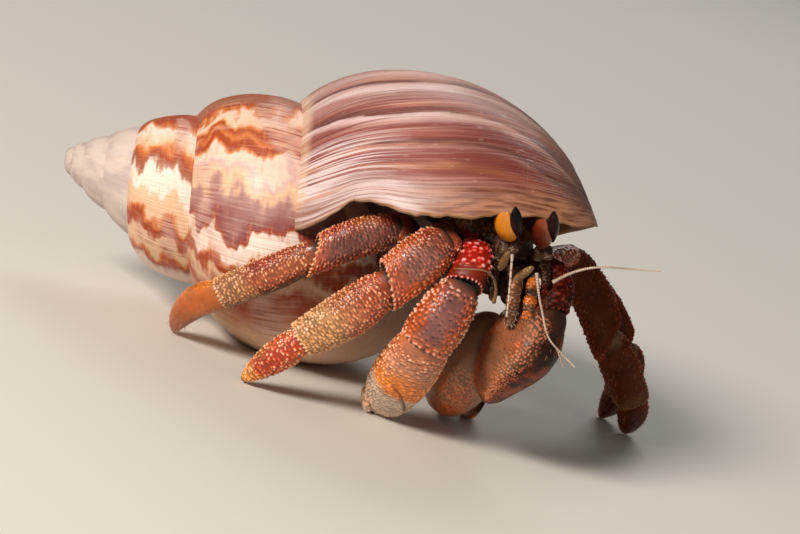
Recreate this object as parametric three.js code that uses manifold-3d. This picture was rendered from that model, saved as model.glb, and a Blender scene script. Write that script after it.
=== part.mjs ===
// A land hermit crab walking in a giant land snail's shell, life size, as one still model.
// Millimetres, +Z up, floor at z = 0. The shell's apex points to -X and its mouth opens
// downwards and towards -Y. The crab leaves the mouth facing +X and -Y.

import * as THREE from 'three';
import { mergeVertices } from 'three/addons/utils/BufferGeometryUtils.js';
import Module from 'manifold-3d';

const wasm = await Module();
wasm.setup();

const group = new THREE.Group();
const GAP = 0.3;
const TURN = Math.PI * 2;
const vec = (x, y, z) => new THREE.Vector3(x, y, z);

// ---------------------------------------------------------------- materials

const paint = (color, roughness, metalness = 0) => ({ color, roughness, metalness });
const SHELL = paint(0xb98a80, 0.42);
const SHIELD = paint(0x6e3a2c, 0.5);
const CUTICLE = paint(0xa8432a, 0.48);
const SOFT = paint(0x8a6a5c, 0.6);
const EYE = paint(0x0c0a0d, 0.08);
const FEELER = paint(0xb9ab98, 0.5);

// ---------------------------------------------------------------- solids from meshes

/** A manifold solid from points and triangles, turned to face outwards. */
function solidFrom(points, triangles) {
  const geometry = new THREE.BufferGeometry();
  geometry.setAttribute('position', new THREE.Float32BufferAttribute(points.flatMap((p) => [p.x, p.y, p.z]), 3));
  geometry.setIndex(triangles.flat());
  const merged = mergeVertices(geometry, 1e-5);
  const vertProperties = merged.attributes.position.array;
  const triVerts = Uint32Array.from(merged.index.array);
  const at = (i) => vec(...vertProperties.slice(3 * i, 3 * i + 3));
  let volume = 0;
  for (let t = 0; t < triVerts.length; t += 3) {
    volume += at(triVerts[t]).dot(at(triVerts[t + 1]).cross(at(triVerts[t + 2])));
  }
  if (volume < 0) triVerts.reverse();
  return new wasm.Manifold(new wasm.Mesh({ numProp: 3, vertProperties, triVerts }));
}

/** A closed solid through a row of rings, each end closed on its middle point. */
function loft(rings) {
  const sides = rings[0].length;
  const middle = (ring) => ring.reduce((sum, p) => sum.add(p), vec(0, 0, 0)).divideScalar(sides);
  const points = [...rings.flat(), middle(rings[0]), middle(rings.at(-1))];
  const first = rings.length * sides;
  const triangles = [];
  for (let s = 0; s < sides; s++) {
    const next = (s + 1) % sides;
    for (let r = 0; r + 1 < rings.length; r++) {
      const a = r * sides + s;
      const b = r * sides + next;
      triangles.push([a, b, b + sides], [a, b + sides, a + sides]);
    }
    const end = first - sides;
    triangles.push([first, next, s], [first + 1, end + s, end + next]);
  }
  return solidFrom(points, triangles);
}

const joined = (solids) => solids.reduce((sum, solid) => sum.add(solid));
const cutClear = (solid, others) => others.reduce((left, other) => left.subtract(other), solid);

/** Everything above the floor, to cut a true flat wherever a piece stands. */
const aboveFloor = solidFrom(
  [0, 1].flatMap((k) => [[-90, -90], [90, -90], [90, 90], [-90, 90]].map(([x, y]) => vec(x, y, 90 * k))),
  [[0, 2, 1], [0, 3, 2], [4, 5, 6], [4, 6, 7], [0, 1, 5], [0, 5, 4],
    [1, 2, 6], [1, 6, 5], [2, 3, 7], [2, 7, 6], [3, 0, 4], [3, 4, 7]],
);

function add(name, solid, look) {
  const { vertProperties, triVerts } = solid.getMesh();
  const geometry = new THREE.BufferGeometry();
  geometry.setAttribute('position', new THREE.Float32BufferAttribute(vertProperties, 3));
  geometry.setIndex(new THREE.Uint32BufferAttribute(triVerts, 1));
  geometry.computeVertexNormals();
  const mesh = new THREE.Mesh(geometry, new THREE.MeshStandardMaterial(look));
  mesh.name = name;
  group.add(mesh);
}

// ---------------------------------------------------------------- the snail shell

// The whorl is one oval carried round the shell's axis while it grows. The angle phi counts
// growth and is 0 where the lip meets the whorl before it. Distances along the axis grow as
// exp(GROWTH * phi), and distances from the axis a little more slowly, which rounds the spire.
const APEX = vec(-42.5, 1.5, 13.1);
const AXIS_TILT = 0.096;
const LIP_ANGLE = 0.165;
const GROWTH = 0.0885;
const FATTEN = 0.79;
const WHORL = { out: 10, along: 48.6, halfWide: 13, halfLong: 19.8 };
const WALL = 0.9;
const COLUMELLA = 1.5;
const SPIRE_START = -40;
const BODY_START = -TURN;
const LAP = 0.12;

const axisAlong = vec(Math.cos(AXIS_TILT), 0, Math.sin(AXIS_TILT));
const axisUp = vec(-Math.sin(AXIS_TILT), 0, Math.cos(AXIS_TILT));
const axisNear = vec(0, -1, 0);

/** A point of the whorl: growth angle, place round the oval, and how far inside its skin. */
function whorlPoint(phi, tau, inset = 0, core = 0.06) {
  const size = Math.exp(GROWTH * phi);
  const spread = size ** FATTEN;
  const wide = WHORL.halfWide * spread - inset;
  const long = WHORL.halfLong * size - inset;
  const out = Math.max(WHORL.out * spread + wide * Math.cos(tau), core);
  const along = WHORL.along * size + long * Math.sin(tau);
  const turned = LIP_ANGLE - phi;
  return APEX.clone()
    .addScaledVector(axisAlong, along)
    .addScaledVector(axisNear, out * Math.cos(turned))
    .addScaledVector(axisUp, out * Math.sin(turned));
}

/** How far the outer lip draws back from phi = 0 round the mouth, as [degrees round, degrees back]. */
const LIP = [[-180, 90], [-130, 10], [-66, -2], [-30, 13], [-8, 14], [16, 20], [51, 27], [75, 41], [95, 62],
  [118, 104], [150, 108], [180, 90]];

function lipBack(tau) {
  const degrees = THREE.MathUtils.radToDeg(tau);
  const k = LIP.findIndex(([place]) => place >= degrees);
  const [[p0, b0], [p1, b1]] = [LIP[Math.max(k - 1, 0)], LIP[Math.max(k, 1)]];
  return THREE.MathUtils.degToRad(THREE.MathUtils.mapLinear(degrees, p0, p1, b0, b1));
}

/** Lengths of whorl between two growth angles, each short enough not to meet itself. */
function whorlTube(from, to, { sides, perTurn, inset, core, end = () => to }) {
  const steps = Math.ceil(((to - from) / TURN) * perTurn);
  const chunk = Math.ceil(perTurn / 3);
  const ring = (k) => Array.from({ length: sides }, (_, s) => {
    const tau = -Math.PI + (TURN * s) / sides;
    const phi = from + ((end(tau) - from) * k) / steps;
    return whorlPoint(phi, tau, inset, core);
  });
  const parts = [];
  for (let k = 0; k < steps; k += chunk) {
    const last = Math.min(k + chunk, steps);
    parts.push(loft(Array.from({ length: last - k + 1 }, (_, i) => ring(k + i))));
  }
  return joined(parts);
}

const MOUTH_RUN = 2.4;
const bodyWhorl = whorlTube(BODY_START, -MOUTH_RUN, { sides: 20, perTurn: 14 })
  .add(whorlTube(-MOUTH_RUN, 0, { sides: 20, perTurn: 14, end: (tau) => -lipBack(tau) }));
const hollow = whorlTube(-3.6, 0.35, { sides: 14, perTurn: 12, inset: WALL, core: COLUMELLA });
const spire = joined([
  whorlTube(SPIRE_START, -4.4 * TURN, { sides: 8, perTurn: 7 }),
  whorlTube(-4.4 * TURN, -2.3 * TURN, { sides: 12, perTurn: 10 }),
  whorlTube(-2.3 * TURN - LAP, BODY_START + LAP, { sides: 20, perTurn: 12, inset: 0.03 }),
]);
const shell = bodyWhorl.subtract(hollow).add(spire).intersect(aboveFloor);
add('shell', shell, SHELL);

// ---------------------------------------------------------------- limbs and feelers

const between = ([a, b, c], u) =>
  a * (1 - u) * (1 - 2 * u) + 4 * b * u * (1 - u) + c * u * (2 * u - 1);

/**
 * A limb piece: flattened oval rings along a gently bowed line, with rounded ends.
 * wide holds the half width at the start, middle and end, flat the thickness as a share
 * of it, and across the broad direction. grow makes a copy that is larger all round.
 */
function limb({ from, to, bow = vec(0, 0, 0), across, wide, flat = 0.75, blunt = 3, sides = 8, rings = 6 }, grow = 0) {
  const reach = to.clone().sub(from).normalize().multiplyScalar(grow);
  const start = from.clone().sub(reach);
  const end = to.clone().add(reach);
  const middle = start.clone().add(end).multiplyScalar(0.5).addScaledVector(bow, 2);
  const line = new THREE.QuadraticBezierCurve3(start, middle, end);
  const row = [];
  for (let r = 0; r <= rings; r++) {
    const u = (1 - Math.cos((Math.PI * r) / rings)) / 2;
    const along = line.getTangent(u);
    const broad = across.clone().addScaledVector(along, -across.dot(along)).normalize();
    const thin = along.clone().cross(broad);
    const rounding = (1 - Math.abs(2 * u - 1) ** blunt) ** (1 / 2);
    const half = (between(wide, u) + grow) * rounding;
    const thick = (between(wide, u) * flat + grow) * rounding;
    const centre = line.getPoint(u);
    row.push(Array.from({ length: sides }, (_, s) => {
      const turn = (TURN * s) / sides;
      return centre.clone()
        .addScaledVector(broad, half * Math.cos(turn) + 1e-3 * Math.cos(turn))
        .addScaledVector(thin, thick * Math.sin(turn) + 1e-3 * Math.sin(turn));
    }));
  }
  return loft(row);
}

/** A chain of limb pieces, each cut back from the one before it by the gap. */
function chain(pieces, look, clear) {
  pieces.forEach(({ name, ...shape }, k) => {
    const neighbours = [...clear, ...(k ? [limb(pieces[k - 1], GAP)] : [])];
    add(name, cutClear(limb(shape), neighbours).intersect(aboveFloor), look);
  });
}

/** A thin round feeler along a smooth curve, tapering from one radius to another. */
function feeler(points, startRadius, endRadius, { sides = 5, rings = 8 } = {}) {
  const line = new THREE.CatmullRomCurve3(points);
  const across = vec(0.3, -0.9, 0.4);
  return loft(Array.from({ length: rings + 1 }, (_, r) => {
    const u = r / rings;
    const along = line.getTangent(u);
    const broad = across.clone().addScaledVector(along, -across.dot(along)).normalize();
    const thin = along.clone().cross(broad);
    const radius = THREE.MathUtils.lerp(startRadius, endRadius, u);
    return Array.from({ length: sides }, (_, s) => line.getPoint(u)
      .addScaledVector(broad, radius * Math.cos((TURN * s) / sides))
      .addScaledVector(thin, radius * Math.sin((TURN * s) / sides)));
  }));
}

// ---------------------------------------------------------------- the body

const FORWARD = vec(0.74, -0.67, 0);
const LEFT = vec(0.67, 0.74, 0);
const UP = vec(0, 0, 1);

const abdomen = whorlTube(-3.3, -1.5, { sides: 12, perTurn: 10, inset: WALL + 1, core: COLUMELLA + 0.8 })
  .subtract(whorlTube(-3.6 - TURN, -1.2 - TURN, { sides: 20, perTurn: 14, inset: -GAP }));
add('abdomen', abdomen, SOFT);

const carapaceShape = {
  from: vec(-1.8, 0.0, 25.6), to: vec(12.6, -13.4, 24.3), across: LEFT, wide: [3.2, 4.2, 2.9], flat: 0.68,
  blunt: 4, sides: 12,
};
const thoraxShape = {
  from: vec(0.5, -3.2, 20.0), to: vec(12.4, -12.0, 19.6), across: LEFT, wide: [2.4, 3.6, 2.4], flat: 0.55, blunt: 4,
};
add('carapace', limb(carapaceShape), SHIELD);
add('thorax', limb(thoraxShape).subtract(limb(carapaceShape, GAP)), SHIELD);
const body = [limb(carapaceShape, GAP), limb(thoraxShape, GAP)];

// ---------------------------------------------------------------- head

const mouthShape = {
  from: vec(12.4, -11.4, 23.0), to: vec(13.4, -12.4, 18.0), across: LEFT, wide: [1.9, 2.2, 1.5], flat: 0.7,
};
add('mouthparts', cutClear(limb(mouthShape), body), SHIELD);

const maxillipeds = {
  maxilliped_right: { from: vec(12.7, -14.6, 22.2), to: vec(13.8, -16.4, 16.6) },
  maxilliped_left: { from: vec(14.7, -13.0, 22.2), to: vec(15.6, -15.4, 16.9) },
};
const maxillipedShapes = Object.values(maxillipeds)
  .map((ends) => ({ ...ends, across: LEFT, wide: [0.65, 0.8, 0.6], flat: 0.8 }));
const behindMaxillipeds = [...body, limb(mouthShape, GAP)];
Object.keys(maxillipeds).forEach((name, k) => {
  add(name, cutClear(limb(maxillipedShapes[k]), behindMaxillipeds), CUTICLE);
});
const head = [...behindMaxillipeds, ...maxillipedShapes.map((shape) => limb(shape, GAP))];

const eyes = {
  right: { stalk: [vec(10.0, -15.2, 25.8), vec(9.2, -19.1, 29.4)], lens: [vec(11.0, -16.7, 26.6), vec(9.7, -20.2, 30.6)] },
  left: { stalk: [vec(13.9, -12.6, 25.8), vec(13.4, -16.8, 29.7)], lens: [vec(14.9, -14.0, 27.0), vec(14.0, -18.2, 31.2)] },
};
for (const [side, { stalk, lens }] of Object.entries(eyes)) {
  const stalkShape = { from: stalk[0], to: stalk[1], across: FORWARD, wide: [0.9, 1.05, 0.75], flat: 0.62 };
  const lensShape = { from: lens[0], to: lens[1], across: FORWARD, wide: [0.5, 0.8, 0.6], flat: 0.8 };
  add(`eyestalk_${side}`, cutClear(limb(stalkShape), body), CUTICLE);
  add(`cornea_${side}`, cutClear(limb(lensShape), [...body, limb(stalkShape, 0.2)]), EYE);
}

// ---------------------------------------------------------------- walking legs

/** One walking leg from its hip down to the floor, in five pieces. */
function walkingLeg(name, { joints, wides, across, flat = 0.72, bows = {} }) {
  const parts = ['coxa', 'merus', 'carpus', 'propodus', 'dactylus'];
  chain(parts.map((part, k) => ({
    name: `${name}_${part}`, from: joints[k], to: joints[k + 1], wide: wides[k], across, flat, bow: bows[part],
    blunt: part === 'dactylus' ? 6 : 9, sides: part === 'coxa' ? 6 : 8, rings: part === 'coxa' ? 4 : 5,
  })), CUTICLE, body);
}

const LEG_WIDES = [[1.2, 1.4, 1.4], [1.5, 2.0, 2.3], [2.2, 2.75, 2.6], [2.35, 2.6, 2.15], [1.85, 1.7, 0.7]];
const SLIM_WIDES = [[1.2, 1.3, 1.3], [1.4, 1.8, 1.9], [1.95, 2.15, 2.05], [1.9, 2.0, 1.75], [1.8, 1.85, 1.1]];

walkingLeg('leg_right_2', {
  joints: [vec(4.6, -8.6, 19.4), vec(3.4, -10.6, 19.6), vec(4.0, -17.0, 24.9), vec(-0.3, -20.0, 17.0),
    vec(-7.4, -19.0, 7.6), vec(-12.9, -16.8, -0.1)],
  wides: LEG_WIDES, across: vec(0.83, 0, -0.5), bows: { dactylus: vec(0.1, -0.2, 0.25) },
});
walkingLeg('leg_right_3', {
  joints: [vec(2.2, -6.4, 19.6), vec(0.6, -7.8, 19.9), vec(-1.6, -14.2, 23.2), vec(-9.6, -16.4, 16.7),
    vec(-18.0, -13.3, 7.9), vec(-22.3, -6.9, -0.1)],
  wides: SLIM_WIDES, across: vec(0.6, 0, -0.8), bows: { dactylus: vec(-1.1, -0.4, 0.7) },
});
walkingLeg('leg_left_2', {
  joints: [vec(9.2, -7.0, 19.4), vec(11.0, -5.8, 19.0), vec(18.3, 5.0, 23.0), vec(26.4, 8.0, 13.8),
    vec(32.5, 14.5, 5.9), vec(33.5, 21.1, -0.1)],
  wides: SLIM_WIDES, across: vec(0.7, 0.1, 0.5), bows: { dactylus: vec(0.3, 0, 0.3) },
});
walkingLeg('leg_left_3', {
  joints: [vec(7.0, -5.4, 19.6), vec(7.8, -3.0, 17.8), vec(19.2, 10.6, 20.4), vec(29.8, 15.4, 11.4),
    vec(31.0, 20.4, 5.6), vec(30.2, 24.4, -0.1)],
  wides: SLIM_WIDES, across: vec(0.7, 0.1, 0.5), bows: { dactylus: vec(0.3, 0, 0.3) },
});

// ---------------------------------------------------------------- claws

/** A claw arm: short base, merus, carpus, palm with its fixed finger, and the moving finger. */
function clawArm(name, { joints, wides, across, flat, finger }) {
  const parts = ['ischium', 'merus', 'carpus', 'palm'];
  const pieces = parts.map((part, k) => ({
    name: `${name}_${part}`, from: joints[k], to: joints[k + 1], wide: wides[k], across: across[k], flat: flat[k],
    blunt: part === 'palm' ? 5 : 9, sides: part === 'palm' ? 12 : 8,
  }));
  chain(pieces, CUTICLE, head);
  const moving = limb({ ...finger, blunt: 5 }).subtract(limb(pieces.at(-1), GAP));
  add(`${name}_finger`, moving.intersect(aboveFloor), CUTICLE);
}

clawArm('claw_right', {
  joints: [vec(7.4, -10.4, 20.2), vec(7.2, -12.8, 25.0), vec(7.8, -19.1, 20.0), vec(5.2, -19.2, 11.9),
    vec(3.6, -8.2, -0.1)],
  wides: [[1.2, 1.3, 1.1], [1.2, 1.9, 2.3], [2.3, 2.9, 3.0], [2.8, 3.4, 1.7]],
  across: [LEFT, vec(1, 0, 0.3), vec(1, 0, 0), vec(1, 0.1, 0)],
  flat: [0.9, 0.8, 0.8, 0.72],
  finger: { from: vec(2.4, -15.0, 6.6), to: vec(1.9, -8.8, -0.1), across: vec(0, 0.5, 1), wide: [1.0, 1.4, 0.9] },
});
clawArm('claw_left', {
  joints: [vec(11.0, -9.0, 20.0), vec(15.9, -9.6, 25.0), vec(18.6, -14.0, 19.2), vec(15.4, -11.4, 10.2),
    vec(11.6, 3.6, 1.4)],
  wides: [[1.3, 1.5, 1.4], [1.5, 1.8, 2.0], [2.1, 4.2, 4.4], [4.0, 4.4, 1.9]],
  across: [LEFT, vec(1, 0.2, 0.3), vec(0.9, -0.1, -0.4), vec(0.3, 0.5, 1)],
  flat: [0.9, 0.85, 0.75, 0.68],
  finger: { from: vec(14.0, -3.0, 4.6), to: vec(13.4, 5.2, -0.1), across: vec(0, 0.4, 1), wide: [1.2, 1.5, 0.8] },
});

// ---------------------------------------------------------------- antennules and antennae

const FEELER_RADIUS = 0.27;
const jointed = (name, from, to, wide) => {
  const shape = { from, to, across: LEFT, wide, flat: 0.9, sides: 6, rings: 5 };
  add(name, cutClear(limb(shape), head), FEELER);
};

jointed('antennule_right_base', vec(10.6, -16.3, 22.4), vec(10.8, -18.4, 25.2), [0.45, 0.5, 0.4]);
add('antennule_right_stem', feeler(
  [vec(11.2, -18.9, 25.3), vec(12.2, -19.6, 21.8), vec(13.1, -20.0, 18.3)], FEELER_RADIUS, FEELER_RADIUS), FEELER);
jointed('antennule_left_base', vec(12.6, -16.4, 21.9), vec(14.0, -17.4, 24.3), [0.45, 0.5, 0.4]);
add('antennule_left_stem', feeler(
  [vec(14.5, -17.6, 24.0), vec(15.4, -17.9, 22.0), vec(17.0, -18.4, 19.4), vec(18.3, -18.6, 17.4),
    vec(20.4, -18.3, 16.2), vec(22.5, -18.0, 15.1)], FEELER_RADIUS, FEELER_RADIUS), FEELER);
jointed('antenna_right_base', vec(9.8, -15.2, 23.3), vec(10.9, -17.3, 18.9), [0.5, 0.6, 0.4]);
add('antenna_right_whip', feeler(
  [vec(11.1, -18.4, 19.0), vec(11.1, -19.7, 20.4), vec(10.2, -21.6, 22.4), vec(9.0, -22.6, 23.2),
    vec(7.2, -22.9, 22.7), vec(5.4, -22.8, 22.1)], FEELER_RADIUS, FEELER_RADIUS), FEELER);
jointed('antenna_left_base', vec(15.3, -12.6, 24.2), vec(16.2, -14.9, 22.2), [0.5, 0.6, 0.4]);
add('antenna_left_whip', feeler(
  [vec(16.6, -15.0, 22.6), vec(17.9, -14.6, 24.1), vec(20.5, -14.2, 25.9), vec(24.3, -13.2, 26.9),
    vec(28.1, -12.0, 27.7)], FEELER_RADIUS, FEELER_RADIUS), FEELER);

// ---------------------------------------------------------------- the frame's origin

const box = new THREE.Box3().setFromObject(group);
const centre = box.getCenter(vec(0, 0, 0));
group.position.set(-centre.x, -centre.y, 0);

export default group;
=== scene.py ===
"""A land hermit crab walking in a giant land snail's shell, life size, as a still model."""

import math

import bmesh
import bpy
import numpy as np
from mathutils import Matrix, Vector


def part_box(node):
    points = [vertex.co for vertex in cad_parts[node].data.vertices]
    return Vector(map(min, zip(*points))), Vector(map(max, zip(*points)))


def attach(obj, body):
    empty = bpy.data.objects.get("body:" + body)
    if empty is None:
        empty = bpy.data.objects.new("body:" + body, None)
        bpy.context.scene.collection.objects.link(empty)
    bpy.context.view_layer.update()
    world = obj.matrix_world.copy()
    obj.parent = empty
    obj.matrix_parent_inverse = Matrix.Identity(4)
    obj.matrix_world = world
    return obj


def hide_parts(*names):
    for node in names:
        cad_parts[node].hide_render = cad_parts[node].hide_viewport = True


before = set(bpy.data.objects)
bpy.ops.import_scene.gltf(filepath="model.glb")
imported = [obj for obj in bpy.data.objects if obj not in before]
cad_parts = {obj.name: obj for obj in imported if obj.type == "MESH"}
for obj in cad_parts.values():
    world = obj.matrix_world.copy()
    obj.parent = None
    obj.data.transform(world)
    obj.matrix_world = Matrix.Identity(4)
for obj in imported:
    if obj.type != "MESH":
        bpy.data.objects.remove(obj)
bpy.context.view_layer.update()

MM = 0.001
TURN = 2 * math.pi
SAME_PLACE = 1e-7  # vertices nearer than this, in metres, are one
rng = np.random.default_rng(20)


# ---------------------------------------------------------------- numbers over a surface

def unit(vectors):
    """The same directions, each with length one."""
    vectors = np.asarray(vectors, float)
    return vectors / np.maximum(np.linalg.norm(vectors, axis=-1, keepdims=True), 1e-12)


def step(low, high, values):
    """0 below low, 1 above high and a smooth S between them; low above high turns it round."""
    t = np.clip((np.asarray(values, float) - low) / (high - low), 0, 1)
    return t * t * (3 - 2 * t)


def bump(centre, half, values):
    """1 at the centre, falling smoothly to 0 at half on either side."""
    return step(half, 0, np.abs(np.asarray(values, float) - centre))


def hashed(i, j, seed):
    """A repeatable number from 0 to 1 for each place of a lattice: the fraction of a large sine."""
    large = np.sin(i * 127.1 + j * 311.7 + seed * 74.7) * 43758.5453
    return large - np.floor(large)


def noise(x, y, seed=0, around=None):
    """Smooth noise from -1 to 1: a hashed number at each whole place, blended by a smooth step.

    around is the number of lattice places after which y comes back to its start.
    """
    i, j = np.floor(x), np.floor(y)
    fx, fy = x - i, y - j
    fx, fy = fx * fx * (3 - 2 * fx), fy * fy * (3 - 2 * fy)
    j0, j1 = (j, j + 1) if around is None else (np.mod(j, around), np.mod(j + 1, around))
    low = hashed(i, j0, seed) * (1 - fx) + hashed(i + 1, j0, seed) * fx
    high = hashed(i, j1, seed) * (1 - fx) + hashed(i + 1, j1, seed) * fx
    return 2 * (low * (1 - fy) + high * fy) - 1


def smooth_line(knots, values):
    """A Catmull-Rom curve through knots, rows of (place, value, ...), read at the given places."""
    knots = np.asarray(knots, float)
    place = knots[:, 0]
    k = np.clip(np.searchsorted(place, values, side="right") - 1, 0, len(place) - 2)
    slope = np.gradient(knots[:, 1:], place, axis=0)
    width = (place[k + 1] - place[k])[..., None]
    t = ((values - place[k]) / (place[k + 1] - place[k]))[..., None]
    a, b = knots[k, 1:], knots[k + 1, 1:]
    return ((2 * t**3 - 3 * t**2 + 1) * a + (t**3 - 2 * t**2 + t) * width * slope[k]
            + (3 * t**2 - 2 * t**3) * b + (t**3 - t**2) * width * slope[k + 1])


def outward(points):
    """The normal at each place of a grid closed round its columns: its slopes' cross product."""
    around = np.roll(points, -1, axis=1) - np.roll(points, 1, axis=1)
    return unit(np.cross(around, np.gradient(points, axis=0)))


def ring_map(along, around):
    """The map of a closed grid: its rows' and columns' places, with one more column for the join."""
    u = np.concatenate([along, along[:, :1]], 1)
    v = np.concatenate([around, 0 * along[:, :1] + 1], 1)
    return np.stack([u, v], -1)


# ---------------------------------------------------------------- meshes

def grid_faces(rows, columns):
    """The quads of a grid numbered row by row, with its last column joined to its first."""
    r, c = np.arange(rows - 1)[:, None], np.arange(columns)[None, :]
    n = (c + 1) % columns
    quads = np.stack([r * columns + c, r * columns + n, (r + 1) * columns + n, (r + 1) * columns + c], -1)
    return quads.reshape(-1, 4)


def corner_places(rows, columns):
    """Row and column numbers of every quad's corners, counting on past the join."""
    r, c = np.arange(rows - 1)[:, None], np.arange(columns)[None, :]
    rr = np.stack([r + 0 * c, r + 0 * c, r + 1 + 0 * c, r + 1 + 0 * c], -1)
    cc = np.stack([c + 0 * r, c + 1 + 0 * r, c + 1 + 0 * r, c + 0 * r], -1)
    return rr.reshape(-1), cc.reshape(-1)


def volume(points, faces):
    """Six times the volume that closed quads enclose, positive where they face outwards."""
    a, b, c, d = (points[faces[:, k]] for k in range(4))
    return np.sum(a * np.cross(b, c)) + np.sum(a * np.cross(c, d))


class Sheets:
    """Closed grids of points joined into one mesh, each with its map and its marks."""

    def __init__(self):
        self.points, self.faces, self.maps, self.marks, self.count = [], [], [], {}, 0

    def add(self, points, place, **marks):
        """Adds a grid, closed round its columns. place holds the map's values, with one more column."""
        rows, columns = points.shape[:2]
        faces = grid_faces(rows, columns)
        flat = points.reshape(-1, 3)
        corners = place[corner_places(rows, columns)].reshape(-1, 4, 2)
        if volume(flat - flat.mean(0), faces) < 0:
            faces, corners = faces[:, ::-1], corners[:, ::-1]
        self.points.append(flat)
        self.faces.append(faces + self.count)
        self.maps.append(corners.reshape(-1, 2))
        for key in dict.fromkeys([*self.marks, *marks]):
            value = marks.get(key, 0.0)
            filled = np.broadcast_to(np.asarray(value, float), (rows, columns)).reshape(-1)
            kept = self.marks.setdefault(key, [np.zeros(self.count)] if self.count else [])
            kept.append(filled)
        self.count += len(flat)

    def build(self, name, material, slot, nodes, map_name="SkinMap"):
        """One smooth mesh object, welded where an end row meets in a point, riding on the root."""
        points = np.concatenate(self.points)
        faces = np.concatenate(self.faces)
        mesh = bpy.data.meshes.new(name)
        mesh.vertices.add(len(points))
        mesh.vertices.foreach_set("co", points.astype(np.float32).ravel())
        mesh.loops.add(faces.size)
        mesh.loops.foreach_set("vertex_index", faces.astype(np.int32).ravel())
        mesh.polygons.add(len(faces))
        mesh.polygons.foreach_set("loop_start", np.arange(0, faces.size, 4, dtype=np.int32))
        mesh.polygons.foreach_set("loop_total", np.full(len(faces), 4, np.int32))
        layer = mesh.uv_layers.new(name=map_name)
        layer.data.foreach_set("uv", np.concatenate(self.maps).astype(np.float32).ravel())
        for key, parts in self.marks.items():
            layer = mesh.attributes.new(key, "FLOAT", "POINT")
            layer.data.foreach_set("value", np.concatenate(parts).astype(np.float32))
        mesh.update(calc_edges=True)
        mesh.validate()
        weld(mesh)
        settle(mesh, material, nodes)


def weld(mesh):
    """Joins vertices that share a place, so that poles and seams are closed."""
    joined = bmesh.new()
    joined.from_mesh(mesh)
    bmesh.ops.remove_doubles(joined, verts=joined.verts, dist=SAME_PLACE)
    bmesh.ops.dissolve_degenerate(joined, edges=joined.edges, dist=SAME_PLACE)
    joined.to_mesh(mesh)
    joined.free()


def settle(mesh, material, nodes=()):
    """Puts a finished mesh in the scene as a smooth piece of its own name, in place of its CAD nodes."""
    piece = bpy.data.objects.new(mesh.name, mesh)
    bpy.context.scene.collection.objects.link(piece)
    mesh.polygons.foreach_set("use_smooth", np.ones(len(mesh.polygons), bool))
    mesh.materials.append(material)
    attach(piece, "root")
    if nodes:
        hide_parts(*nodes)


# ---------------------------------------------------------------- measuring the frame

MEETING_SLACK = 0.6 * MM  # points this much farther than the nearest still count as where two nodes meet
FARTHEST = 0.985  # the share of a node's points that are nearer than its tip
BODY = (0.12, 0.9)  # a limb piece without its rounded ends, as places along it
STATIONS, STATION_HALF = np.array([0.2, 0.35, 0.5, 0.65, 0.8]), 0.09  # where its widths are measured


def cad_points(node, count=1500):
    """Points spread evenly over a CAD node's surface, by triangle area."""
    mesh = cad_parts[node].data
    mesh.calc_loop_triangles()
    places = np.zeros(len(mesh.vertices) * 3, np.float32)
    mesh.vertices.foreach_get("co", places)
    corners = np.zeros(len(mesh.loop_triangles) * 3, np.int32)
    mesh.loop_triangles.foreach_get("vertices", corners)
    a, b, c = places.reshape(-1, 3)[corners.reshape(-1, 3)].transpose(1, 0, 2).astype(float)
    area = np.linalg.norm(np.cross(b - a, c - a), axis=1)
    spread = np.random.default_rng(1)
    pick = spread.choice(len(area), count, p=area / area.sum())
    s, t = spread.random(count), spread.random(count)
    s, t = np.where(s + t > 1, 1 - s, s)[:, None], np.where(s + t > 1, 1 - t, t)[:, None]
    return a[pick] + s * (b - a)[pick] + t * (c - a)[pick]


def meeting(one, other):
    """Where two neighbouring nodes meet: the middle of the points of each that are nearest the other."""
    far = np.linalg.norm(one[:, None] - other[None], axis=2)
    near = far.min() + MEETING_SLACK
    return (one[far.min(1) < near].mean(0) + other[far.min(0) < near].mean(0)) / 2


def tip_from(points, start):
    """The middle of the points of a node that lie farthest from its start."""
    away = np.linalg.norm(points - start, axis=1)
    return points[away > np.quantile(away, FARTHEST)].mean(0)


class Form:
    """The measured form of one limb piece: a bowed line with half widths in two directions."""

    def __init__(self, node, start, end, outside):
        points = cad_points(node)
        self.start, self.end = start, end
        self.length = np.linalg.norm(end - start)
        self.axis = (end - start) / self.length
        place = (points - start) @ self.axis / self.length
        across = points - start - np.outer(place * self.length, self.axis)
        body = (place > BODY[0]) & (place < BODY[1])
        direction = np.linalg.svd(across[body] - across[body].mean(0), full_matrices=False)[2][0]
        thin = unit(np.cross(self.axis, direction))
        self.thin = thin * (1 if thin @ outside > 0 else -1)
        self.broad = unit(np.cross(self.thin, self.axis))
        if self.broad[2] < 0:
            self.broad = -self.broad
        middles, halves = [], []
        for station in STATIONS:
            there = across[np.abs(place - station) < STATION_HALF] @ np.transpose([self.broad, self.thin])
            middles.append((there.max(0) + there.min(0)) / 2)
            halves.append((there.max(0) - there.min(0)) / 2)
        self.bow = [self._arch(offsets) for offsets in np.transpose(middles)]
        self.half = [np.polyfit(STATIONS, widths, 2) for widths in np.transpose(halves)]

    @staticmethod
    def _arch(offsets):
        """How far the line bows: the best single arch through the stations that is 0 at both ends."""
        arch = 4 * STATIONS * (1 - STATIONS)
        return (arch @ offsets) / (arch @ arch)

    def middle(self, place):
        """Points of the centre line at places from 0 to 1."""
        arch = (4 * place * (1 - place))[..., None]
        return (self.start + np.asarray(place)[..., None] * (self.end - self.start)
                + arch * (self.bow[0] * self.broad + self.bow[1] * self.thin))

    def widths(self, place):
        """Half widths along broad and thin."""
        inside = np.clip(place, 0.05, 0.95)
        return np.polyval(self.half[0], inside), np.polyval(self.half[1], inside)


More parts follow.
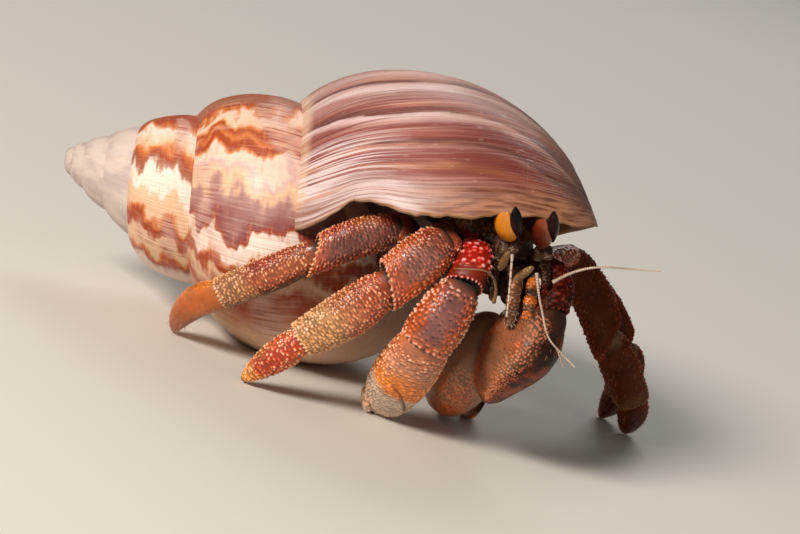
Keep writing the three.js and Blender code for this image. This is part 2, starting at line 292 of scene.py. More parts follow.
class Bar(Form):
    """The form of a piece that is given: a straight line from start to end with half widths in mm."""

    def __init__(self, start, end, broad_half, thin_half, outside):
        self.start, self.end, self.bow = np.asarray(start, float), np.asarray(end, float), (0.0, 0.0)
        self.length = np.linalg.norm(self.end - self.start)
        self.axis = (self.end - self.start) / self.length
        self.broad = unit(np.cross(outside, self.axis))
        self.broad = -self.broad if self.broad[2] < 0 else self.broad
        self.thin = unit(np.cross(self.axis, self.broad))
        self.thin = -self.thin if self.thin @ outside < 0 else self.thin
        self.half = [np.array([0, 0, half * MM]) for half in (broad_half, thin_half)]


class Stretch(Form):
    """One stretch of another form, from place a to place b, widened by a share."""

    def __init__(self, form, a, b, share):
        self.form, self.a, self.b, self.share = form, a, b, share
        self.broad, self.thin, self.length = form.broad, form.thin, form.length * abs(b - a)

    def middle(self, place):
        """Points of the stretch's centre line."""
        return self.form.middle(self.a + (self.b - self.a) * np.asarray(place, float))

    def widths(self, place):
        """Half widths of the stretch."""
        return tuple(half * self.share for half in self.form.widths(self.a + (self.b - self.a) * place))


def lengthwise(node, outside, upside_down=False):
    """The form of a piece measured along its own longest direction, from its higher end to its lower one."""
    points = cad_points(node)
    middle = points.mean(0)
    direction = np.linalg.svd(points - middle, full_matrices=False)[2][0]
    if (direction[2] > 0) != upside_down:
        direction = -direction
    reach = (points - middle) @ direction
    return Form(node, middle + direction * reach.min(), middle + direction * reach.max(), outside)


def nudged(form, start, end, outside=None):
    """The same form with its two ends moved, in mm, and turned so that its outer face looks outside."""
    made = object.__new__(Form)
    made.__dict__.update(form.__dict__)
    made.start, made.end = form.start + np.array(start) * MM, form.end + np.array(end) * MM
    made.length = np.linalg.norm(made.end - made.start)
    made.axis = (made.end - made.start) / made.length
    if outside is not None:
        made.thin = unit(outside - made.axis * (made.axis @ outside))
        broad = np.cross(made.axis, made.thin)
        made.broad = broad if broad[2] > 0 else -broad
    return made


# ---------------------------------------------------------------- the snail shell

# Angles along the spiral are in radians, 0 at the lip and negative on the older whorls.
APEX = np.array([-42.5, 1.5, 13.1]) * MM
AXIS_TILT, LIP_ANGLE = 0.096, 0.165
GROWTH, FATTEN = 0.0885, 0.79
WHORL_OUT, WHORL_ALONG = 10 * MM, 48.6 * MM
WHORL_HALF_WIDE, WHORL_HALF_LONG = 13 * MM, 19.8 * MM
COLUMELLA = 1.5 * MM
CONE_LEAN = 0.42
SPIRE_START, NOSE_RUN = -40.0, 1.2
HOLLOW_START, MOUTH_RUN = -3.6, 2.4
EDGE_THICKNESS, WALL = 0.35 * MM, 0.9 * MM
EDGE_ROUND, WALL_REACH = 1.2 * MM, 9 * MM  # how far in from the lip the edge is round and the wall is full
LIP_TRAVEL, HOLLOW_TRAVEL = 22, 20  # about how many mm one radian of growth is at the lip and in the hollow
COLUMNS, OUTER_ROWS, INNER_ROWS = 132, 590, 92
OLD_LIP_BACK, FRESH_LIP = math.radians(62), 0.16  # how far back and how long ago a former lip looks new
GROWTH_PAUSES = (-0.305, -0.2, -0.118)  # in turns before the lip
# How far the present lip and an even former lip draw back round the mouth: rows of (place round the
# oval, draw back), both in degrees.
LIP = np.array([[-180, 90], [-130, 10], [-66, -2], [-30, 13], [-8, 14], [16, 20], [51, 27], [75, 41], [95, 62],
                [118, 104], [150, 108], [180, 90]], float)
SWEEP = np.array([[-180, 20], [-110, 2], [-66, 3], [-40, 8], [-8, 14], [16, 20], [51, 30], [75, 42], [95, 56],
                  [118, 66], [180, 80]], float)

axis_along = np.array([math.cos(AXIS_TILT), 0, math.sin(AXIS_TILT)])
axis_up = np.array([-math.sin(AXIS_TILT), 0, math.cos(AXIS_TILT)])
axis_near = np.array([0.0, -1.0, 0.0])


def flattened(cosine, phi):
    """The oval's outward share, with its outer face a little flatter on the older whorls: a smaller power."""
    power = 1 - 0.42 * step(-0.95, -1.6, phi / TURN) - 0.10 * step(-1.9, -2.6, phi / TURN)
    return np.where(cosine > 0, np.abs(cosine) ** power, cosine)


def whorl(phi, tau, inset=0.0, core=0.06 * MM):
    """A point of the whorl: an oval carried round the shell's axis and growing with the angle phi.

    Distance along the axis grows as exp(GROWTH phi), distance from it as that to the power FATTEN.
    tau goes round the oval, and inset is how far inside its skin the point lies. The first whorls lean
    outwards along the axis, so that their sides run together into a cone, and the start is rounded off.
    """
    size = np.exp(GROWTH * phi)
    spread = size**FATTEN
    nose = np.sqrt(step(SPIRE_START, SPIRE_START + NOSE_RUN, phi))
    out = WHORL_OUT * spread + (WHORL_HALF_WIDE * spread - inset) * nose * flattened(np.cos(tau), phi)
    out = np.maximum(out, core)
    along = WHORL_ALONG * size + (WHORL_HALF_LONG * size - inset) * nose * np.sin(tau)
    lean = CONE_LEAN * step(-2.0, -2.5, phi / TURN) * step(-0.2, 0.4, np.cos(tau))
    out = out + lean * WHORL_HALF_LONG * size * np.sin(tau)
    turned = LIP_ANGLE - phi
    return (APEX + along[..., None] * axis_along + (out * np.cos(turned))[..., None] * axis_near
            + (out * np.sin(turned))[..., None] * axis_up)


def lip_back(tau):
    """How far the lip draws back from phi = 0 round the mouth, smoothly and with its worn, wavy edge."""
    degrees = np.degrees(tau)
    drawn = smooth_line(LIP, degrees)[..., 0]
    near = bump(10, 95, degrees)
    worn = 1.5 * noise(degrees / 17, 0 * degrees, 3) + 0.8 * noise(degrees / 6.1, 0 * degrees, 4)
    worn = worn + 0.5 * noise(degrees / 2.3, 0 * degrees, 5)
    chips = 3.2 * bump(63, 3.5, degrees) - 1.8 * bump(71, 4, degrees) + 2.2 * bump(-38, 5, degrees)
    return np.radians(drawn), np.radians(drawn + near * (worn + chips))


def snail_shell(material):
    """The whole shell as one sheet: along the spiral to the lip, over its edge and back inside.

    Rows follow the spiral at an even arc length and columns go round the oval, closer together on
    the side that shows. Past the lip the same rows run back with the wall's inset. Returns how far the
    shell was moved to fit its box.
    """
    t = np.linspace(0, 1, COLUMNS, endpoint=False)
    # the visible arc of the oval takes three quarters of the columns
    tau = np.radians(np.interp(t, [0, 0.08, 0.86, 1], [-180, -98, 118, 180]))
    smooth_back, back = lip_back(tau)
    first = math.exp(GROWTH * FATTEN * SPIRE_START)
    spread = np.linspace(first, 1, OUTER_ROWS)
    phi = np.log(spread) / (GROWTH * FATTEN)
    run = np.clip((phi + MOUTH_RUN) / MOUTH_RUN, 0, 1)[:, None]
    outer_phi = np.where(run > 0, -MOUTH_RUN + run * (MOUTH_RUN - back[None]), phi[:, None])
    # the edge rounds over, then the inner skin goes back into the hollow
    s = np.linspace(0, 1, INNER_ROWS)[:, None]
    inner_phi = -back[None] + (HOLLOW_START + back[None]) * s**1.15
    distance = -(inner_phi + back[None]) * HOLLOW_TRAVEL * MM
    edge = np.clip(distance / EDGE_ROUND, 0, 1)
    inset = EDGE_THICKNESS * np.sqrt(edge) + (WALL - EDGE_THICKNESS) * step(0, WALL_REACH, distance)
    core = COLUMELLA * np.sqrt(edge)

    tau_outer = tau[None] + 0 * outer_phi
    # a line of growth is a former lip: like the present one close to it, and an even sweep before that
    present = np.minimum(smooth_back, OLD_LIP_BACK)[None]
    even = np.radians(smooth_line(SWEEP, np.degrees(tau))[..., 0])[None]
    fresh = np.exp(np.minimum(outer_phi + back[None], 0) / FRESH_LIP)
    old_lips = present * fresh + even * (1 - fresh)
    growth = outer_phi + old_lips * step(-7.5, -3.5, outer_phi)
    turns = growth / TURN
    size = np.exp(GROWTH * outer_phi)
    visible = bump(10, 118, np.degrees(tau_outer))
    # growth steps, undulations and fine ribs stand out from the oval, in mm
    body = step(-1.05, -0.62, outer_phi / TURN)
    ribs = 0.05 * noise(turns * 150, tau_outer * 2.2, 11) + 0.035 * noise(turns * 330, tau_outer * 3.1, 12)
    waves = 0.10 * noise(turns * 26, tau_outer * 0.7, 13) + 0.07 * noise(turns * 70, tau_outer * 1.0, 14)
    stops = sum(0.13 * step(0, 0.012, turns - at + 0.006 * noise(tau_outer * 2, 0 * turns, 15 + k)) *
                step(0.06, 0.01, turns - at) for k, at in enumerate(GROWTH_PAUSES))
    near_suture = bump(-62, 26, np.degrees(tau_outer))
    crenulate = near_suture * 0.10 * noise(turns * 120, tau_outer * 0.7, 21)
    wear = 0.10 * noise(turns * 9, tau_outer * 3.3, 22) * (1 - body)
    out = (ribs + waves * (0.35 + 0.65 * body) + stops + crenulate + wear) * visible * MM * size**0.6
    points = whorl(outer_phi, tau_outer)
    normal = outward(points)
    middle = whorl(outer_phi, tau_outer, inset=WHORL_HALF_WIDE * size * 0.5)
    normal *= np.sign(np.sum(normal * (points - middle), -1, keepdims=True))
    points = points + normal * out[..., None] * step(0, 0.4 * MM, (1 - run) * 40 * MM)[..., None]

    tau_inner = tau[None] + 0 * inner_phi
    inner = whorl(inner_phi[1:], tau_inner[1:], inset[1:], core[1:])
    grid = np.concatenate([points, inner])
    low, high = (np.array(corner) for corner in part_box("shell"))
    shift = (low + high) / 2 - (grid.reshape(-1, 3).min(0) + grid.reshape(-1, 3).max(0)) / 2
    grid = grid + shift * [1, 1, 0]
    grid[..., 2] = np.maximum(grid[..., 2], 0)

    all_growth = np.concatenate([growth, inner_phi[1:] + present])
    to_lip = np.concatenate([-(outer_phi + back[None]), -(inner_phi[1:] + back[None])]) * LIP_TRAVEL
    inside = np.concatenate([0 * outer_phi, 0 * inner_phi[1:] + 1])
    across = np.concatenate([tau, [tau[0] + TURN]]) / TURN + 0.5
    u = np.concatenate([all_growth, all_growth[:, :1]], 1) / TURN + 7
    place = np.stack([u, across[None] + 0 * u], -1)
    shell = Sheets()
    shell.add(grid, place, inside=inside, to_lip=to_lip)
    shell.build("snail_shell", material, "shell", ["shell"], "GrowthMap")
    return shift * [1, 1, 0]


# ---------------------------------------------------------------- shader building

def put(tree, kind, *inputs, **settings):
    """Adds a node. Each input is a value, another node's output, or None to leave it alone."""
    made = tree.nodes.new("ShaderNode" + kind)
    for key, value in settings.items():
        setattr(made, key, value)
    for socket, value in zip(made.inputs, inputs):
        if isinstance(value, bpy.types.NodeSocket):
            tree.links.new(value, socket)
        elif value is not None:
            socket.default_value = value
    return made


def maths(tree, operation, *inputs, clamp=False):
    """The result of a Math node."""
    return put(tree, "Math", *inputs, operation=operation, use_clamp=clamp).outputs[0]


def plus(tree, one, other):
    """The sum of two shader values."""
    return maths(tree, "ADD", one, other)


def minus(tree, one, other):
    """The difference of two shader values."""
    return maths(tree, "SUBTRACT", one, other)


def times(tree, one, other):
    """The product of two shader values."""
    return maths(tree, "MULTIPLY", one, other)


def ease(tree, value, low, high):
    """A smooth S from 0 at low to 1 at high."""
    return put(tree, "MapRange", value, low, high, 0.0, 1.0, interpolation_type="SMOOTHSTEP").outputs[0]


def mixed(tree, share, one, other, how="MIX"):
    """Two colours mixed by a share."""
    made = tree.nodes.new("ShaderNodeMix")
    made.data_type = "RGBA"
    made.blend_type = how
    made.clamp_factor = True
    for socket, value in ((made.inputs[0], share), (made.inputs[6], one), (made.inputs[7], other)):
        if isinstance(value, bpy.types.NodeSocket):
            tree.links.new(value, socket)
        else:
            socket.default_value = value if socket == made.inputs[0] else (*value, 1.0)[:4]
    return made.outputs[2]


def mark(tree, name):
    """A number marked on the mesh."""
    return put(tree, "Attribute", attribute_name=name).outputs["Fac"]


def grain(tree, vector, scale, detail=2.0, roughness=0.5):
    """A noise texture's value, about 0.5 in the middle."""
    made = put(tree, "TexNoise")
    tree.links.new(vector, made.inputs["Vector"])
    for key, value in (("Scale", scale), ("Detail", detail), ("Roughness", roughness)):
        made.inputs[key].default_value = value
    return made.outputs["Fac"]


def bumped(tree, shader, height, strength, distance):
    """Lights the shader as if its surface stood up by a height of at most the distance, in mm."""
    relief = put(tree, "Bump")
    relief.inputs["Strength"].default_value = strength
    relief.inputs["Distance"].default_value = distance * MM
    tree.links.new(height, relief.inputs["Height"])
    tree.links.new(relief.outputs[0], shader.inputs["Normal"])


def stretched(tree, u, v, along, across, shift=0.0):
    """A vector from two map values, each multiplied by its own scale."""
    return put(tree, "CombineXYZ", times(tree, u, along), times(tree, v, across), float(shift)).outputs[0]


def new_material(name, roughness=0.45, **uniform):
    """A material with one Principled shader; uniform values are set on its own sockets."""
    material = bpy.data.materials.new(name)
    material.use_nodes = True
    shader = material.node_tree.nodes["Principled BSDF"]
    shader.inputs["Roughness"].default_value = roughness
    for key, value in uniform.items():
        shader.inputs[key.replace("_", " ")].default_value = value
    return material, material.node_tree, shader


def new_group(name, inputs, outputs):
    """A shader node group with named sockets. Returns the group, its input node and its output node."""
    group = bpy.data.node_groups.new(name, "ShaderNodeTree")
    kinds = {"value": "NodeSocketFloat", "colour": "NodeSocketColor", "vector": "NodeSocketVector"}
    for label, (kind, value) in inputs.items():
        socket = group.interface.new_socket(label, in_out="INPUT", socket_type=kinds[kind])
        if value is not None:
            socket.default_value = (*value, 1.0)[:4] if kind == "colour" else value
    for label, kind in outputs.items():
        group.interface.new_socket(label, in_out="OUTPUT", socket_type=kinds[kind])
    return group, group.nodes.new("NodeGroupInput"), group.nodes.new("NodeGroupOutput")


# The shell's colours in the order it grew: turns of growth, counted up to 7 at the lip, and the colour laid
# down there. The older whorls carry flames, the last one bands along its former lips.
RED_BROWN, ORANGE, CREAM, WHITE = (0.34, 0.052, 0.014), (0.58, 0.17, 0.042), (0.73, 0.46, 0.29), (0.82, 0.66, 0.57)
MAUVE, ROSE, TAN, PLUM = (0.37, 0.19, 0.178), (0.22, 0.052, 0.048), (0.32, 0.115, 0.062), (0.085, 0.022, 0.016)
BLUSH, PEARL, CHALK = (0.60, 0.39, 0.365), (0.74, 0.60, 0.59), (0.75, 0.53, 0.43)
OLD_WHORLS = [(4.60, CREAM), (4.68, RED_BROWN), (4.72, ORANGE), (4.745, CHALK), (4.765, ORANGE), (4.785, RED_BROWN),
              (4.825, RED_BROWN), (4.845, ORANGE), (4.862, WHITE), (4.905, CREAM), (4.92, ORANGE), (4.94, RED_BROWN),
              (4.955, TAN), (4.968, WHITE), (5.005, WHITE), (5.02, CREAM), (5.055, CREAM), (5.068, ORANGE),
              (5.078, RED_BROWN), (5.098, RED_BROWN), (5.108, CREAM), (5.14, CREAM), (5.15, ORANGE),
              (5.165, RED_BROWN), (5.19, WHITE), (5.26, CREAM), (5.28, RED_BROWN), (5.31, WHITE), (5.40, ORANGE),
              (5.44, CREAM), (5.50, RED_BROWN), (5.54, WHITE)]
MIDDLE_WHORL = [(5.54, WHITE), (5.60, RED_BROWN), (5.64, CREAM), (5.71, CHALK), (5.75, RED_BROWN), (5.812, TAN),
                (5.826, RED_BROWN), (5.838, ORANGE), (5.846, CHALK), (5.858, CREAM), (5.866, ORANGE),
                (5.876, RED_BROWN), (5.894, ORANGE), (5.904, RED_BROWN), (5.918, RED_BROWN), (5.926, ORANGE),
                (5.934, CHALK), (5.952, CHALK), (5.962, BLUSH), (5.978, CREAM), (5.99, MAUVE), (6.026, ROSE),
                (6.037, RED_BROWN), (6.044, WHITE), (6.066, WHITE), (6.072, ORANGE), (6.078, RED_BROWN),
                (6.094, RED_BROWN), (6.105, CREAM), (6.13, RED_BROWN), (6.21, CREAM), (6.54, MAUVE)]
LAST_WHORL = [(6.54, MAUVE), (6.60, ROSE), (6.66, BLUSH), (6.70, PLUM), (6.74, ROSE), (6.79, MAUVE), (6.82, BLUSH),
              (6.838, MAUVE), (6.846, PLUM), (6.851, BLUSH), (6.862, PEARL), (6.870, MAUVE), (6.884, MAUVE),
              (6.892, ROSE), (6.896, PLUM), (6.903, PLUM), (6.9055, PEARL), (6.911, BLUSH), (6.916, ROSE),
              (6.930, ROSE), (6.936, PLUM), (6.940, MAUVE), (6.945, ROSE), (6.954, ROSE), (6.960, TAN), (6.967, ROSE),
              (6.973, MAUVE), (6.979, PLUM), (6.982, BLUSH), (6.990, PEARL), (7.0, TAN)]
STREAK_MEAN, STREAK_SOFTNESS, SOFT_FROM = (0.27, 0.095, 0.085), 0.26, 6.86
# How the flames' edges drift, and how far. The noise is given as (how many to a turn of growth, how many round
# the whorl, its place in the noise, its detail).
FLAME_DRIFT = [((11, 12, 7, 1.0), 0.10), ((34, 40, 8), 0.040), ((20, 75, 25, 3.0), 0.022)]
# Fine lines laid over the older whorls and over the last one: strength, noise and colour. Here the noise also
# has the values at which a line begins and is full, before its detail.
OLD_LINES = [(0.22, (170, 9, 12, 0.52, 0.75), (0.86, 0.70, 0.58)),
             (0.35, (34, 110, 26, 0.52, 0.72, 3.0), (0.62, 0.24, 0.09)),
             (0.25, (210, 10, 13, 0.58, 0.72), (0.34, 0.12, 0.06)),
             (0.22, (9, 190, 14, 0.66, 0.78), (0.86, 0.74, 0.62))]
LAST_LINES = [(0.5, (46, 3, 2, 0.50, 0.68, 3.0), (0.40, 0.13, 0.09)),
              (0.6, (60, 6, 3, 0.52, 0.68, 3.0), (0.50, 0.21, 0.11)),
              (0.38, (260, 3, 4, 0.56, 0.72), (0.66, 0.44, 0.39)),
              (0.80, (300, 4, 5, 0.56, 0.68), (0.17, 0.04, 0.03)),
              (0.2, (620, 7, 6, 0.50, 0.75), (0.72, 0.52, 0.45)),
              (0.20, (12, 210, 16, 0.68, 0.80), (0.78, 0.62, 0.52))]


def softened(stops):
    """The same stops, those towards the lip brought part of the way to the streaks' mean colour."""
    return [(at, tuple(np.array(colour) + STREAK_SOFTNESS * (at > SOFT_FROM) * (np.array(STREAK_MEAN) - colour)))
            for at, colour in stops]


def growth_ramp(tree, turns, stops):
    """The colour at each place of growth, eased between the stops."""
    first, last = stops[0][0], stops[-1][0]
    share = put(tree, "MapRange", turns, first, last, 0.0, 1.0).outputs[0]
    made = put(tree, "ValToRGB", share)
    ramp = made.color_ramp
    ramp.elements[0].position, ramp.elements[1].position = 0.0, 1.0
    for at, colour in stops[1:-1]:
        ramp.elements.new((at - first) / (last - first)).color = (*colour, 1)
    ramp.elements[0].color, ramp.elements[-1].color = (*stops[0][1], 1), (*stops[-1][1], 1)
    return made.outputs[0]


def shell_material():
    """Snail shell: growth lines, flames on the older whorls and mauve bands on the last one."""
    material, tree, shader = new_material("snail_shell", Coat_Weight=0.10, Coat_Roughness=0.2,
                                          Specular_IOR_Level=0.24)
    uv = put(tree, "UVMap", uv_map="GrowthMap").outputs[0]
    parts = put(tree, "SeparateXYZ", uv)
    u, v = parts.outputs[0], parts.outputs[1]
    inside, to_lip = mark(tree, "inside"), mark(tree, "to_lip")

    def streaks(along, across, shift, detail):
        """Noise drawn out along the map: so many to a turn of growth and so many round the whorl."""
        return grain(tree, stretched(tree, u, v, along, across, shift), 1.0, detail, 0.55)

    def drift(along, across, shift, detail=2.0):
        """Streaks from about -0.5 to 0.5."""
        return minus(tree, streaks(along, across, shift, detail), 0.5)

    def lines(along, across, shift, low, high, detail=2.0):
        """Streaks sharpened to a share from 0 at low to 1 at high."""
        return ease(tree, streaks(along, across, shift, detail), low, high)

    def laid(base, strength, share, colour):
        """A colour laid over the base by a varying share of a strength."""
        return mixed(tree, times(tree, share, strength), base, colour)

    # the older whorls: each colour's edge runs in teeth and drifts, so that bands break up into flames
    teeth = put(tree, "TexWave", stretched(tree, u, v, 3.0, 4.2, 0.3), 1.0, 9.0, 2.0, 0.8, wave_type="BANDS",
                bands_direction="Y", wave_profile="TRI").outputs["Fac"]
    teeth = times(tree, minus(tree, teeth, 0.5), plus(tree, 0.02, drift(6, 9, 21)))
    flamed = plus(tree, u, times(tree, teeth, 0.20))
    for pattern, reach in FLAME_DRIFT:
        flamed = plus(tree, flamed, times(tree, drift(*pattern), reach))
    older = growth_ramp(tree, flamed, OLD_WHORLS)
    middle = growth_ramp(tree, flamed, MIDDLE_WHORL)
    old = mixed(tree, ease(tree, flamed, 5.535, 5.545), older, middle)
    # worn patches show mauve with fine dark lines, and old flames are veined along the growth
    worn = mixed(tree, lines(200, 6, 11, 0.5, 0.62), (0.60, 0.36, 0.30), (0.24, 0.07, 0.055))
    old = laid(old, 0.65, lines(6, 7, 10, 0.55, 0.66), worn)
    for strength, pattern, tint in OLD_LINES:
        old = laid(old, strength, lines(*pattern), tint)

    # the last whorl: bands along former lips, which bend back a little beside the suture
    lean = times(tree, maths(tree, "MAXIMUM", minus(tree, 0.43, v), 0.0), 0.16)
    drop = maths(tree, "POWER", maths(tree, "MAXIMUM", minus(tree, v, 0.50), 0.0), 2.0)
    banded = plus(tree, plus(tree, u, lean), times(tree, drift(44, 16, 1, 3.0), 0.011))
    banded = plus(tree, banded, times(tree, drop, -2.2))
    body = growth_ramp(tree, banded, softened(LAST_WHORL))
    for strength, pattern, tint in LAST_LINES:
        body = laid(body, strength, lines(*pattern), tint)
    # beside the former lips on the spire's side the ribs are pale, and towards the far end the whorl is darkened:
    # partly its own brown, partly painted shade
    pale = times(tree, ease(tree, v, 0.47, 0.39), ease(tree, u, 6.912, 6.93))
    body = laid(body, pale, times(tree, lines(380, 5, 30, 0.47, 0.56), 0.65), (0.78, 0.66, 0.67))
    body = mixed(tree, times(tree, ease(tree, v, 0.46, 0.54), 0.75), body,
                 mixed(tree, 1.0, body, (0.56, 0.34, 0.24), "MULTIPLY"))
    body = mixed(tree, times(tree, ease(tree, v, 0.55, 0.67), 0.85), body,
                 mixed(tree, lines(60, 5, 31, 0.4, 0.65, 3.0), (0.16, 0.055, 0.030), (0.07, 0.022, 0.012)))
    sutural = mixed(tree, lines(90, 3, 17, 0.4, 0.6), (0.66, 0.38, 0.22), (0.78, 0.62, 0.48))
    body = laid(body, 0.5, ease(tree, v, 0.335, 0.318), sutural)
    # pale flecks
    body = laid(body, 0.15, lines(240, 70, 32, 0.68, 0.74, 1.0), (0.72, 0.58, 0.50))

    # the first whorls are bleached
    apex = mixed(tree, lines(14, 5, 18, 0.40, 0.66, 2.0), (0.62, 0.51, 0.46), (0.48, 0.38, 0.355))
    apex = laid(apex, 0.35, lines(60, 8, 19, 0.5, 0.75), (0.70, 0.48, 0.34))
    age = plus(tree, u, times(tree, drift(12, 8, 20), 0.35))
    colour = mixed(tree, ease(tree, age, 4.42, 4.62), apex, old)
    colour = mixed(tree, ease(tree, age, 6.45, 6.6), colour, body)

    # beside the lip the shell is thin, pale and brown-edged, and orange inside
    forward = ease(tree, plus(tree, v, times(tree, drift(20, 14, 27, 3.0), 0.12)), 0.44, 0.53)
    pearly = mixed(tree, lines(420, 8, 28, 0.46, 0.56), (0.26, 0.13, 0.11), (0.50, 0.375, 0.365))
    horny = mixed(tree, lines(260, 22, 15, 0.42, 0.62, 3.0), (0.40, 0.175, 0.095), (0.14, 0.048, 0.020))
    reach = plus(tree, 3.4, times(tree, drift(30, 16, 29, 3.0), 3.0))
    thin = ease(tree, minus(tree, to_lip, reach), 1.4, -1.4)
    colour = laid(colour, 0.75, thin, mixed(tree, forward, pearly, horny))
    colour = laid(colour, 0.75, ease(tree, to_lip, 0.7, 0.1), (0.40, 0.20, 0.09))
    inner = mixed(tree, lines(18, 3, 22, 0.4, 0.6), (0.62, 0.26, 0.09), (0.46, 0.27, 0.18))
    colour = mixed(tree, inside, colour, inner)
    tree.links.new(colour, shader.inputs["Base Color"])

    rough = plus(tree, 0.30, times(tree, lines(300, 14, 23, 0.3, 0.8, 3.0), 0.28))
    tree.links.new(rough, shader.inputs["Roughness"])
    height = plus(tree, times(tree, lines(620, 9, 6, 0.2, 0.8), 0.6),
                  plus(tree, times(tree, lines(260, 5, 4, 0.2, 0.8), 1.0),
                       times(tree, lines(900, 160, 24, 0.2, 0.8, 3.0), 0.35)))
    bumped(tree, shader, height, 0.6, 0.09)
    return material


shell_shift = snail_shell(shell_material())


# ---------------------------------------------------------------- cuticle

def cuticle_group():
    """Crab cuticle: four colours round the piece that run into one another, another at its far end,
    warm blotches, granules with pale tops and dark points, and soft skin at the joints. The hollows
    between the granules are darkened as painted shade, the pale tops are partly a painted highlight, and
    the soft skin is darkened as painted shade in the joints.

    The map's u is the place along the piece and v the place round it: 0 is the upper margin, 0.25 the
    outer face, 0.5 the lower margin and 0.75 the inner face.
    """
    colours = {"Upper": (0.36, 0.08, 0.035), "Outer": (0.26, 0.12, 0.10), "Lower": (0.42, 0.11, 0.045),
               "Inner": (0.2, 0.09, 0.035), "Far End": (0.55, 0.2, 0.06), "Near End": (0.25, 0.12, 0.1),
               "Top": (0.90, 0.60, 0.46), "Point": (0.02, 0.008, 0.006), "Soft": (0.045, 0.020, 0.011),
               "Warm": (0.5, 0.16, 0.03), "Tip": (0.6, 0.4, 0.28)}
    values = {"Outer Half": 0.12, "Outer Share": 0.8, "Far Start": 0.75, "Far Share": 0.5, "Near Stop": 0.2,
              "Near Share": 0.0, "Top Share": 0.6, "Point Share": 0.85, "Warm Share": 0.5, "Blotch Size": 300.0,
              "Hollow": 0.12, "Tip Start": 0.88, "Tip Share": 0.0, "Tip Lean": 0.0}
    inputs = {**{k: ("colour", c) for k, c in colours.items()}, **{k: ("value", x) for k, x in values.items()}}
    outputs = {"Colour": "colour", "Roughness": "value", "Height": "value", "Hard": "value"}
    group, given, out = new_group("cuticle", inputs, outputs)
    g = given.outputs
    uv = put(group, "SeparateXYZ", put(group, "UVMap", uv_map="SkinMap").outputs[0])
    u, v = uv.outputs[0], uv.outputs[1]
    place = put(group, "TexCoord").outputs["Object"]
    height, point, lot = mark(group, "height"), mark(group, "point"), mark(group, "lot")
    coarse = grain(group, place, 420.0, 3.0, 0.6)
    fine = grain(group, place, 1900.0, 3.0, 0.6)
    wander = times(group, minus(group, coarse, 0.5), 0.24)
    moved = plus(group, v, wander)

    def beside(centre, half):
        """A share that is 1 at a place round the piece and falls away over the half width."""
        off = maths(group, "ABSOLUTE", minus(group, moved, centre))
        return ease(group, maths(group, "DIVIDE", off, half), 1.2, 0.4)

    def laid(base, share, strength, colour):
        """One of the group's colours laid over the base by a share of one of its strengths."""
        return mixed(group, times(group, share, g[strength]), base, g[colour])

    blotch = grain(group, place, 300.0, 2.0)
    group.links.new(g["Blotch Size"], blotch.node.inputs["Scale"])
    colour = mixed(group, beside(0.5, 0.17), g["Upper"], g["Lower"])
    colour = laid(colour, ease(group, blotch, 0.47, 0.60), "Warm Share", "Warm")
    colour = laid(colour, beside(0.25, g["Outer Half"]), "Outer Share", "Outer")
    colour = mixed(group, beside(0.75, 0.19), colour, g["Inner"])
    far = minus(group, plus(group, u, wander), g["Far Start"])
    colour = laid(colour, ease(group, far, -0.10, 0.12), "Far Share", "Far End")
    near = minus(group, g["Near Stop"], plus(group, u, wander))
    colour = laid(colour, ease(group, near, -0.08, 0.08), "Near Share", "Near End")
    tip = minus(group, plus(group, u, times(group, wander, 0.5)), g["Tip Start"])
    tip = minus(group, tip, times(group, g["Tip Lean"], minus(group, v, 0.25)))
    colour = laid(colour, ease(group, tip, -0.03, 0.05), "Tip Share", "Tip")
    # mottling, painted shade in the hollows between the granules that lightens towards their tops, and a different
    # tone for each granule
    raised = times(group, ease(group, height, 0.0, 0.5), 0.52)
    tone = plus(group, g["Hollow"], plus(group, times(group, coarse, 0.85), raised))
    colour = mixed(group, 1.0, colour, put(group, "CombineColor", tone, tone, tone).outputs[0], "MULTIPLY")
    colour = mixed(group, times(group, ease(group, height, 0.2, 0.6), 0.15), colour, g["Warm"])
    # pale granule tops: partly the cuticle's own colour, partly a painted highlight
    top = times(group, ease(group, height, 0.42, 0.85), g["Top Share"])
    top = maths(group, "MULTIPLY", top, plus(group, 0.60, times(group, lot, 0.45)), clamp=True)
    colour = mixed(group, top, colour, g["Top"])
    colour = laid(colour, point, "Point Share", "Point")
    # soft skin at the joints, its colour darkened as painted shade in the gaps between pieces
    soft = mark(group, "soft")
    membrane = mixed(group, ease(group, fine, 0.35, 0.7), g["Soft"], (0.02, 0.012, 0.008))
    results = {"Colour": mixed(group, soft, colour, membrane),
               "Roughness": plus(group, 0.24, plus(group, times(group, fine, 0.28), times(group, soft, 0.4))),
               "Height": plus(group, times(group, fine, 0.6), times(group, coarse, 0.4)),
               "Hard": minus(group, 1.0, soft)}
    for label, result in results.items():
        group.links.new(result, out.inputs[label])
    return group


CUTICLE = cuticle_group()


def cuticle(name, coat=0.2, shine=0.4, **values):
    """A cuticle material with its own colours and shares."""
    material, tree, shader = new_material(name, Coat_Roughness=0.18, Specular_IOR_Level=shine)
    look = tree.nodes.new("ShaderNodeGroup")
    look.node_tree = CUTICLE
    for key, value in values.items():
        socket = look.inputs[key.replace("_", " ")]
        socket.default_value = (*value, 1.0) if isinstance(value, tuple) else value
    tree.links.new(look.outputs["Colour"], shader.inputs["Base Color"])
    tree.links.new(look.outputs["Roughness"], shader.inputs["Roughness"])
    if coat:
        tree.links.new(times(tree, look.outputs["Hard"], coat), shader.inputs["Coat Weight"])
    bumped(tree, shader, look.outputs["Height"], 0.5, 0.05)
    return material


# ---------------------------------------------------------------- one piece of cuticle

# Each outline is (place along, share of the width), from the neck inside the piece before it to the far
# rim and the cup that the next piece comes out of.
SEGMENT = [(-0.05, 0), (-0.09, 0.36), (-0.075, 0.58), (-0.03, 0.70), (0.025, 0.82), (0.09, 0.92), (0.2, 0.98),
           (0.4, 1.01), (0.6, 1.02), (0.78, 1.035), (0.9, 1.05), (0.975, 1.045), (1.0, 1.0), (0.995, 0.92),
           (0.975, 0.74), (0.95, 0.35), (0.95, 0)]
